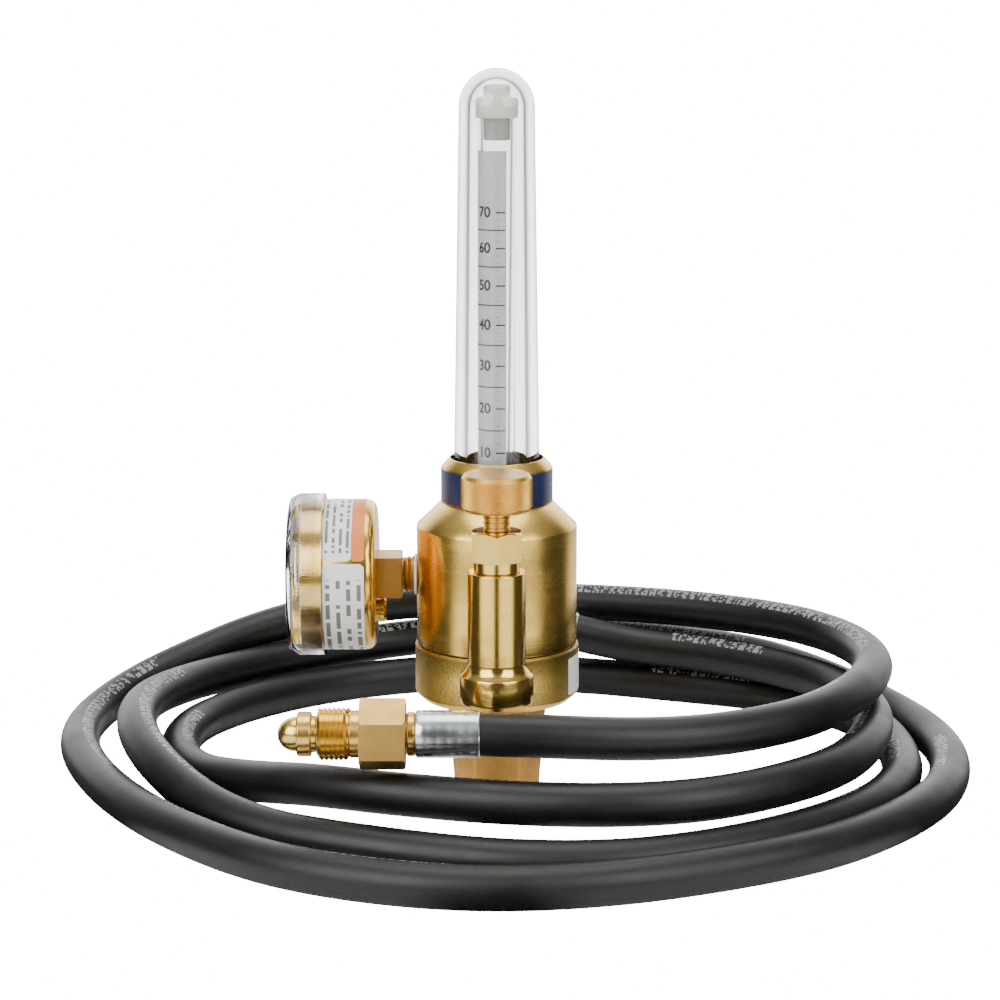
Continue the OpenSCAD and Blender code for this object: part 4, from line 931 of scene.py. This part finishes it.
class REGULATOR_OT_body(bpy.types.Operator):
    """Make the turned body, the forged bonnet with its nub, and the rim's label"""
    bl_idname = "regulator.body"
    bl_label = "Body"

    def execute(self, context):
        body = turned("body_shell", [
            (0, 47.25), (24.9, 47.25), (25.4, 47.7), (25.4, 84.9), (25.25, 85.3), (17.75, 92.8),
            (17.4, 92.9), (15.7, 92.95), (15.7, 98.2), (0, 98.2)])
        settle(body, "brass_turned", "regulator_body")
        soften(body)
        chamfer = turned("bonnet_chamfer", [
            (13, 29.4), (23.3, 29.4), (23.7, 29.55), (25.85, 31.6), (25.98, 31.9), (20, 31.95),
            (13, 31.95)], closed=True)
        ride_along(chamfer, "brass_valve", "regulator")
        rim = turned("bonnet_rim", [
            (0, 31.9), (25.95, 31.9), (26, 32.0), (26, 46.5), (25.5, 47.15), (24.6, 47.2), (0, 47.2)])
        settle(rim, "brass_forged", "bonnet")
        soften(rim)
        ride_along(self.nub(), "brass_nub", "regulator")
        label = curved_patch("rim_label_film", 26.02, 0.12, 32.6, 44.4, 330, 370, round_by=0.6)
        settle(label, "label_plain", "rim_label")
        screw = from_node("preset_screw", "preset_screw_face")
        settle(screw, "brass_turned", "preset_screw")
        return {"FINISHED"}

    def nub(self):
        """The hexagonal nub, drafted, with softened corners and a chamfered foot."""
        rows = [(0.0, 11.6, 3.6), (0.35, 12.25, 2.9), (2.6, 12.15, 1.6), (29.6, 14.0, 1.2)]
        per_corner, points = 7, []
        for height, half, blunt in rows:
            reach = (half - blunt) / math.cos(math.pi / 6)
            for corner in range(6):
                middle = math.radians(60 * corner)
                for k in range(per_corner):
                    spread = math.radians(-30 + 60 * k / (per_corner - 1))
                    points.append((reach * math.cos(middle) + blunt * math.cos(middle + spread),
                                   reach * math.sin(middle) + blunt * math.sin(middle + spread), height))
        steps = 6 * per_corner
        hole = len(points)
        for depth in (0.0, 3.0):
            for k in range(steps):
                angle = 2 * math.pi * k / steps - math.radians(30)
                points.append((5.05 * math.cos(angle), 5.05 * math.sin(angle), depth))
        faces = bands(len(rows), steps)
        for k in range(steps):
            j = (k + 1) % steps
            faces.append([k, j, hole + j, hole + k])
            faces.append([hole + k, hole + j, hole + steps + j, hole + steps + k])
        faces.append([hole + steps + k for k in range(steps)])
        faces.append([(len(rows) - 1) * steps + k for k in range(steps)])
        return build("bonnet_nub", points, faces, sharp=24)


class REGULATOR_OT_flow_tube(bpy.types.Operator):
    """Make the collar, the clear tubes, the scale and the plug"""
    bl_idname = "regulator.flow_tube"
    bl_label = "Flow tube"

    def execute(self, context):
        collar = turned("collar", [
            (15.8, 92.95), (17.2, 92.95), (17.5, 93.15), (17.5, 103.8), (17.35, 104.1), (14.95, 106.75),
            (14.65, 106.8), (14.65, 101.4), (15.8, 101.4)], closed=True)
        settle(collar, "brass_turned", "tube_collar")
        band = turned("band", [(17.52, 93.3), (17.67, 93.3), (17.67, 103.5), (17.52, 103.5)], closed=True)
        settle(band, "label_blue", "collar_band")
        cover = turned("cover", [
            (9.4, 98.55), (15.5, 98.55), (15.6, 98.7), (15.6, 101.1), (15.45, 101.25), (13.7, 101.3),
            (13.5, 101.6)]
            + [(13.5 - 1.75 * k / 8, 101.6 + (216.25 - 101.6) * k / 8) for k in range(1, 8)]
            + arc(0, 216.25, 11.75, 0, 90, 24)[:-1] + [(0, 228), (0, 224.55)]
            + list(reversed(arc(0, 216.25, 8.3, 0, 90, 20)[:-1]))
            + [(8.3 + 1.1 * k / 8, 216.25 - (216.25 - 98.55) * k / 8) for k in range(1, 8)], closed=True)
        settle(cover, "clear", "cover_tube")
        meter = turned("meter", [
            (3.4, 94.4), (5.7, 94.4), (5.8, 94.5), (5.8, 212.7), (5.7, 212.8), (4.47, 212.8)],
            closed=True, steps=96)
        settle(meter, "clear_inner", "metering_tube")
        foot = from_node("tube_foot", "foot_ring")
        settle(foot, "clear_inner", "tube_foot")
        plug = turned("plug", [
            (0, 206.1), (3.8, 206.1), (4.15, 206.6), (4.2, 212.85), (6.3, 212.85), (6.6, 213.1),
            (6.6, 217.9), (6.3, 218.7), (5.4, 219.05), (4.2, 219.1), (4.15, 222.0), (3.7, 222.6),
            (0, 222.65)], steps=64)
        settle(plug, "ivory", "tube_plug")
        ball = turned("ball", [(0, 104.24)] + arc(0, 107.41, 3.175, -86, 86, 28) + [(0, 110.59)], steps=64)
        settle(ball, "ball", "float_ball")
        film = curved_patch("scale_film", 5.83, 0.12, 104.4, 203.0, 180, 298, steps=40, round_by=0.3)
        settle(film, "scale_film", "scale_strip")
        for name, start, sweep, first, step, count, thick in (
                ("numbered", -1.62, 0.46, 10.0, 10.0, 7, 0.22), ("middle", -2.9, 1.74, 15.0, 10.0, 6, 0.19),
                ("minor", -1.62, 0.20, 10.0, 2.0, 31, 0.05)):
            lines = grown(f"scale_{name}", "scale", {
                "Radius": 5.97, "Zero Height": SCALE_ZERO, "Rise": SCALE_RISE, "Crowding": SCALE_CROWDING,
                "Start": start, "Sweep": sweep, "First": first, "Step": step, "Count": count,
                "Thick": thick}, "print_black")
            ride_along(lines, "print_black", "regulator")
        words = []
        for value in range(10, 80, 10):
            height = SCALE_ZERO + SCALE_RISE * value + SCALE_CROWDING * value * value
            points, faces = text_mesh(str(value), 4.6, 0.022)
            bent = []
            for p in points:
                angle = math.radians(270 - 37) + p.x * 0.9 / 5.96
                bent.append((6.04 * math.cos(angle), 6.04 * math.sin(angle), height + p.y))
            words.append(thick_faces(bent, faces, lambda p: (p[0] * 1.008, p[1] * 1.008, p[2])))
        numbers = build("scale_numbers", *joined(*words))
        ride_along(numbers, "print_black", "regulator")
        return {"FINISHED"}


class REGULATOR_OT_gauge(bpy.types.Operator):
    """Make the gauge's case, lens, dial, pointer, labels and stem"""
    bl_idname = "regulator.gauge"
    bl_label = "Gauge"

    def execute(self, context):
        sizes = context.scene.regulator_sizes
        case = turned("case", [(4.95, 12.6), (20.8, 12.6)] + arc(20.8, 15.6, 3.0, -90, 0, 8)
                      + [(23.8, 34.9), (23.6, 35.4), (23.1, 35.4), (23.0, 35.1)]
                      + list(reversed(arc(20.8, 15.6, 2.2, -90, 0, 8))) + [(4.95, 13.4)], GAUGE, True)
        settle(case, "brass_case", "gauge_case")
        lens = turned("lens", [
            (23.95, 28.95), (25.5, 28.95), (25.7, 29.2), (25.7, 36.9), (24.6, 39.4), (23.9, 39.95),
            (23.3, 40.1), (0, 40.1), (0, 38.3), (22.4, 38.3), (22.55, 38.1), (22.55, 35.65),
            (23.95, 35.65)], GAUGE, True)
        settle(lens, "clear", "gauge_lens")
        ribs = grown("lens_ribs", "ring", {
            "Radius": 25.62, "Height": 33.9, "Count": sizes.lens_ribs, "Start": 0.0,
            "Step": 2 * math.pi / sizes.lens_ribs, "Deep": 0.26, "Wide": sizes.lens_rib / MM, "Tall": 5.8},
            "clear", GAUGE)
        ride_along(ribs, "clear", "regulator")
        self.dial()
        socket = from_node("gauge_socket", "socket")
        settle(socket, "brass_orange", "gauge_socket")
        soften(socket, 0.0003, 40)
        thread_ridge("socket_thread", 5.9, 1.41, 0.2, 4.4, "brass_orange", GAUGE, "regulator")
        seal = turned("seal", [(5.3, -0.05), (6.4, 0.0), (6.55, 0.35), (6.3, 0.7), (5.3, 0.75)],
                      GAUGE, True, 64)
        ride_along(seal, "sealant", "regulator")
        vent = turned("vent", [(0, 9.8), (3.2, 9.8), (3.85, 10.4), (3.85, 11.6), (3.5, 11.8),
                               (3.5, 12.7), (0, 12.7)],
                      GAUGE @ Matrix.Translation((-11.7, 0, 0)), steps=48)
        settle(vent, "brass_case", "gauge_vent_plug")
        lower = curved_patch("label_low", 23.82, 0.12, 15.7, 28.6, 172, 290, GAUGE, round_by=1.2)
        settle(lower, "label_white", "gauge_label")
        upper = curved_patch("label_high", 23.82, 0.12, 19.8, 28.6, 292, 370, GAUGE, round_by=1.0)
        ride_along(upper, "label_white", "regulator")
        flash = curved_patch("label_flash", 23.82, 0.12, 15.7, 19.75, 292, 370, GAUGE, round_by=0.8)
        settle(flash, "label_orange", "gauge_label_flash")
        return {"FINISHED"}

    def dial(self):
        """The dial with its ticks and numbers, and the pointer on its hub."""
        face = turned("dial_face", [(1.6, 32.0), (22.75, 32.0), (22.8, 32.1), (22.8, 32.4), (22.75, 32.5),
                                    (1.6, 32.5)], GAUGE, True)
        settle(face, "dial_white", "gauge_dial")
        zero = DIAL_SWEEP / 2
        for name, count, step, deep, wide, radius in (
                ("ticks_minor", 41, DIAL_SWEEP / 40, 1.4, 0.22, 17.6),
                ("ticks_major", DIAL_STEPS + 1, DIAL_SWEEP / DIAL_STEPS, 2.6, 0.5, 17.0)):
            ticks = grown(name, "ring", {
                "Radius": radius, "Height": 32.53, "Count": count, "Start": math.radians(zero),
                "Step": -math.radians(step), "Deep": deep, "Wide": wide, "Tall": 0.06},
                "print_black", GAUGE)
            ride_along(ticks, "print_black", "regulator")
        words = []
        for k in range(DIAL_STEPS + 1):
            angle = math.radians(zero - DIAL_SWEEP / DIAL_STEPS * k)
            cx, cy = 13.1 * math.cos(angle), 13.1 * math.sin(angle)
            points, faces = text_mesh(str(k * 500), 2.6)
            laid = [(cx + p.y, cy - p.x, 32.5) for p in points]
            words.append(thick_faces(laid, faces, lambda p: (p[0], p[1], p[2] + 0.05)))
        numbers = build("dial_numbers", *joined(*words), GAUGE)
        ride_along(numbers, "print_black", "regulator")
        pointer = from_node("gauge_pointer", "pointer_blade")
        settle(pointer, "pointer_black", "gauge_pointer")
        soften(pointer, 0.00006)


class REGULATOR_OT_valve(bpy.types.Operator):
    """Make the outlet valve with its knurled knob"""
    bl_idname = "regulator.valve"
    bl_label = "Outlet valve"

    def execute(self, context):
        sizes = context.scene.regulator_sizes
        shell = turned_parts([
            (7.3, 36.8), (9.3, 36.8)] + arc(9.3, 38.8, 2.0, -80, 0, 6) + [
            (11.3, 46.1), (11.1, 46.5), (10.3, 47.1), (9.55, 48.2), (9.1, 49.4), (8.85, 50.6), (8.85, 78.2),
            (8.5, 78.5), (0, 78.5), (0, 51), (1.3, 51), (6.1, 47.4), (7.3, 47.3)], 128, True)
        stub = turned_parts([(0, 0), (5.05, 0), (5.05, 22), (0, 22)], 64)
        lie = Matrix.Translation((0, 0, 62)) @ Matrix.Rotation(math.radians(-90), 4, "X")
        stub = ([tuple(lie @ Vector(p)) for p in stub[0]], stub[1])
        body = build("valve_shell", *joined(shell, stub), VALVE)
        settle(body, "brass_valve", "valve_body")
        soften(body)
        thread_ridge("outlet_thread", 7.3, 1.41, 37.2, 46.4, "brass_turned", VALVE, "regulator",
                     inside=True)
        bonnet = build("valve_bonnet_nut", *joined(
            turned_parts([(2.53, 78.5), (6.7, 78.5), (7.05, 78.9), (7.05, 82.0), (2.53, 82.0)], 96, True),
            hex_parts(15.0, 82.0, 91.0, 0.5, 1.2, turn=math.radians(30))), VALVE)
        settle(bonnet, "brass_valve", "valve_bonnet")
        soften(bonnet)
        core = 10.9 - sizes.knurl_depth / MM
        knob = turned("knob", [
            (2.5, 91.3), (4.1, 91.3), (4.1, 92.2), (3.75, 92.5), (3.75, 93.1), (4.1, 93.4), (4.1, 93.8),
            (3.75, 94.1), (3.75, 94.7), (4.1, 95.0), (4.1, 95.4), (3.75, 95.7), (3.75, 96.3), (4.1, 96.6),
            (4.2, 97.4), (9.8, 97.5), (core, 98.35), (core, 107.45), (9.85, 108.45), (9.5, 108.5),
            (0, 108.5), (0, 105), (2.5, 105)], VALVE, True)
        settle(knob, "brass_knob", "valve_knob")
        pitch = sizes.knurl_pitch / MM
        around = int(2 * math.pi * 10.9 / pitch)
        rise = pitch / 2
        rows = int((107.6 - 98.6) / rise)
        knurl = grown("knob_knurl", "knurl", {
            "Radius": core - 0.05, "Bottom": 98.75, "Around": around, "Rows": rows, "Rise": rise,
            "Size": pitch * 0.52, "Depth": sizes.knurl_depth / MM + 0.05}, "brass_knob", VALVE)
        ride_along(knurl, "brass_knob", "valve_knob")
        return {"FINISHED"}


class REGULATOR_OT_inlet(bpy.types.Operator):
    """Make the cylinder inlet's nipple and captive nut"""
    bl_idname = "regulator.inlet"
    bl_label = "Inlet"

    def execute(self, context):
        nipple = turned("inlet_nipple_body", [
            (0, 0.1), (8.7, 0.1), (9, 0.4), (9, 4.4), (8.5, 5), (5.6, 5), (5.6, 24.6), (9.2, 24.6),
            (9.2, 29.5), (8.9, 29.8), (7.6, 29.8), (7.6, 31.2)]
            + nose(0, 31.2, 7.6, 6.6, (0.2, 0.4, 0.6, 0.8, 1.0))
            + [(3.2, 37.15), (2.95, 36.9), (2.95, 27), (0, 27)], INLET)
        settle(nipple, "brass_pale_y", "inlet_nipple")
        soften(nipple)
        nut = build("inlet_nut_body", *joined(
            hex_parts(28.6, 5.6, 15.8, 1.5, 1.5),
            turned_parts([
                (5.7, 15.7), (10.95, 15.7), (10.95, 17.2), (11.3, 17.6), (11.3, 28.6), (10.8, 29.8),
                (9.5, 29.8), (9.5, 24.3), (5.7, 24.3)], 128, True)), INLET)
        settle(nut, "brass_pale_y", "inlet_nut")
        soften(nut)
        thread_ridge("inlet_thread", 12.25, 1.81, 17.4, 29.4, "brass_pale_y", INLET, "inlet_nut")
        return {"FINISHED"}


class REGULATOR_OT_stage(bpy.types.Operator):
    """Lay the pale floor and hang the soft lights"""
    bl_idname = "regulator.stage"
    bl_label = "Stage"

    def execute(self, context):
        strength = context.scene.regulator_stage.light
        self.floor_finish()
        mesh = bpy.data.meshes.new("floor")
        size = 6.0
        mesh.from_pydata([(-size, -size, 0), (size, -size, 0), (size, size, 0), (-size, size, 0)], [],
                         [(0, 1, 2, 3)])
        floor = add_object("floor", mesh)
        floor.data.materials.append(FINISHES["pale_floor"])
        lamps = {
            "top": ((0.0, 0.10, 1.10), (0, 0, 0.05), 0.9, 0.7, 8.0),
            "left": ((-0.62, -0.74, 0.62), (0, 0, 0.08), 0.80, 0.80, 13.0),
            "right": ((0.66, -0.70, 0.62), (0, 0, 0.08), 0.74, 0.80, 9.0),
        }
        for name, (at, towards, wide, tall, power) in lamps.items():
            data = bpy.data.lights.new(name, "AREA")
            data.shape = "RECTANGLE"
            data.size = wide
            data.size_y = tall
            data.energy = power * strength
            lamp = bpy.data.objects.new(name, data)
            context.scene.collection.objects.link(lamp)
            lamp.location = at
            lamp.rotation_euler = (Vector(towards) - Vector(at)).to_track_quat("-Z", "Y").to_euler()
        context.scene.world = self.room()
        return {"FINISHED"}

    def floor_finish(self):
        """White to the camera, pale to the object, with darker stripes for its reflections."""
        tree, shader = start_finish("pale_floor", Roughness=0.6, Specular_IOR_Level=0.2,
                                    Emission_Color=(1.0, 1.0, 1.0, 1.0))
        rays = add_node(tree, "ShaderNodeLightPath").outputs
        at = split(tree, object_place(tree))
        aside, depth = calc(tree, "ABSOLUTE", at["X"]), calc(tree, "ABSOLUTE", at["Y"])
        from_behind = calc(tree, "DIVIDE", aside, calc(tree, "MAXIMUM", at["Y"], 0.02))
        apart = calc(tree, "DIVIDE", aside, calc(tree, "MAXIMUM", depth, 0.02))
        through = times(tree, rays["Is Transmission Ray"], self.ramp(tree, from_behind, 0.5, 1.3, 3.0, 0.0))
        middle = times(tree, self.ramp(tree, apart, 0.08, 0.24, 1.0, 0.0), below(tree, at["Y"], 0.0))
        dark = calc(tree, "MAXIMUM", middle, self.ramp(tree, apart, 1.3, 2.4, 0.0, 1.0))
        feed(tree, shader, {
            "Emission Strength": plus(tree, times(tree, rays["Is Camera Ray"], SEEN_WHITE), through),
            "Base Color": mix_colours(tree, times(tree, dark, rays["Is Glossy Ray"]),
                                      (0.93, 0.93, 0.93), (0.035, 0.03, 0.025))})

    def room(self):
        """White to the camera, pale behind and above the object, and dark at the sides and in front."""
        world = bpy.data.worlds.new("pale_room")
        world.use_nodes = True
        tree = world.node_tree
        towards = split(tree, add_node(tree, "ShaderNodeTexCoord").outputs["Generated"])
        lit = calc(tree, "MAXIMUM", self.ramp(tree, towards["Y"], 0.50, 0.88, 0.08, 3.2),
                   self.ramp(tree, towards["Z"], 0.35, 0.9, 0.0, 0.55))
        seen = add_node(tree, "ShaderNodeLightPath").outputs["Is Camera Ray"]
        feed(tree, tree.nodes["Background"].inputs, {
            "Strength": plus(tree, lit, times(tree, seen, SEEN_WHITE)), "Color": (1.0, 1.0, 1.0, 1.0)})
        return world

    def ramp(self, tree, value, low, high, first, last):
        return map_range(tree, value, {"From Min": low, "From Max": high, "To Min": first, "To Max": last})


class REGULATOR_PT_panel(bpy.types.Panel):
    """Every piece and setting of the regulator"""
    bl_idname = "REGULATOR_PT_panel"
    bl_label = "Gas regulator"
    bl_space_type = "VIEW_3D"
    bl_region_type = "UI"
    bl_category = "Regulator"

    def draw(self, context):
        for operator in OPERATORS:
            self.layout.operator(operator.bl_idname)
        for group in (context.scene.regulator_sizes, context.scene.regulator_colours,
                      context.scene.regulator_stage):
            box = self.layout.box()
            for name in group.__annotations__:
                box.prop(group, name)


OPERATORS = (
    REGULATOR_OT_finishes, REGULATOR_OT_camera, REGULATOR_OT_hose, REGULATOR_OT_body,
    REGULATOR_OT_flow_tube, REGULATOR_OT_gauge, REGULATOR_OT_valve, REGULATOR_OT_inlet, REGULATOR_OT_stage)
SETTINGS = {"regulator_sizes": RegulatorSizes, "regulator_colours": RegulatorColours,
            "regulator_stage": RegulatorStage}


def register():
    for kind in (*SETTINGS.values(), *OPERATORS, REGULATOR_PT_panel):
        bpy.utils.register_class(kind)
    for name, kind in SETTINGS.items():
        setattr(bpy.types.Scene, name, bpy.props.PointerProperty(type=kind))


def unregister():
    for name in SETTINGS:
        delattr(bpy.types.Scene, name)
    for kind in reversed((*SETTINGS.values(), *OPERATORS, REGULATOR_PT_panel)):
        bpy.utils.unregister_class(kind)


def main():
    register()
    bpy.ops.regulator.finishes()
    bpy.ops.regulator.camera()
    bpy.ops.regulator.hose()
    bpy.ops.regulator.body()
    bpy.ops.regulator.flow_tube()
    bpy.ops.regulator.gauge()
    bpy.ops.regulator.valve()
    bpy.ops.regulator.inlet()
    bpy.ops.regulator.stage()
    bpy.context.view_layer.update()


if __name__ == "__main__":
    main()
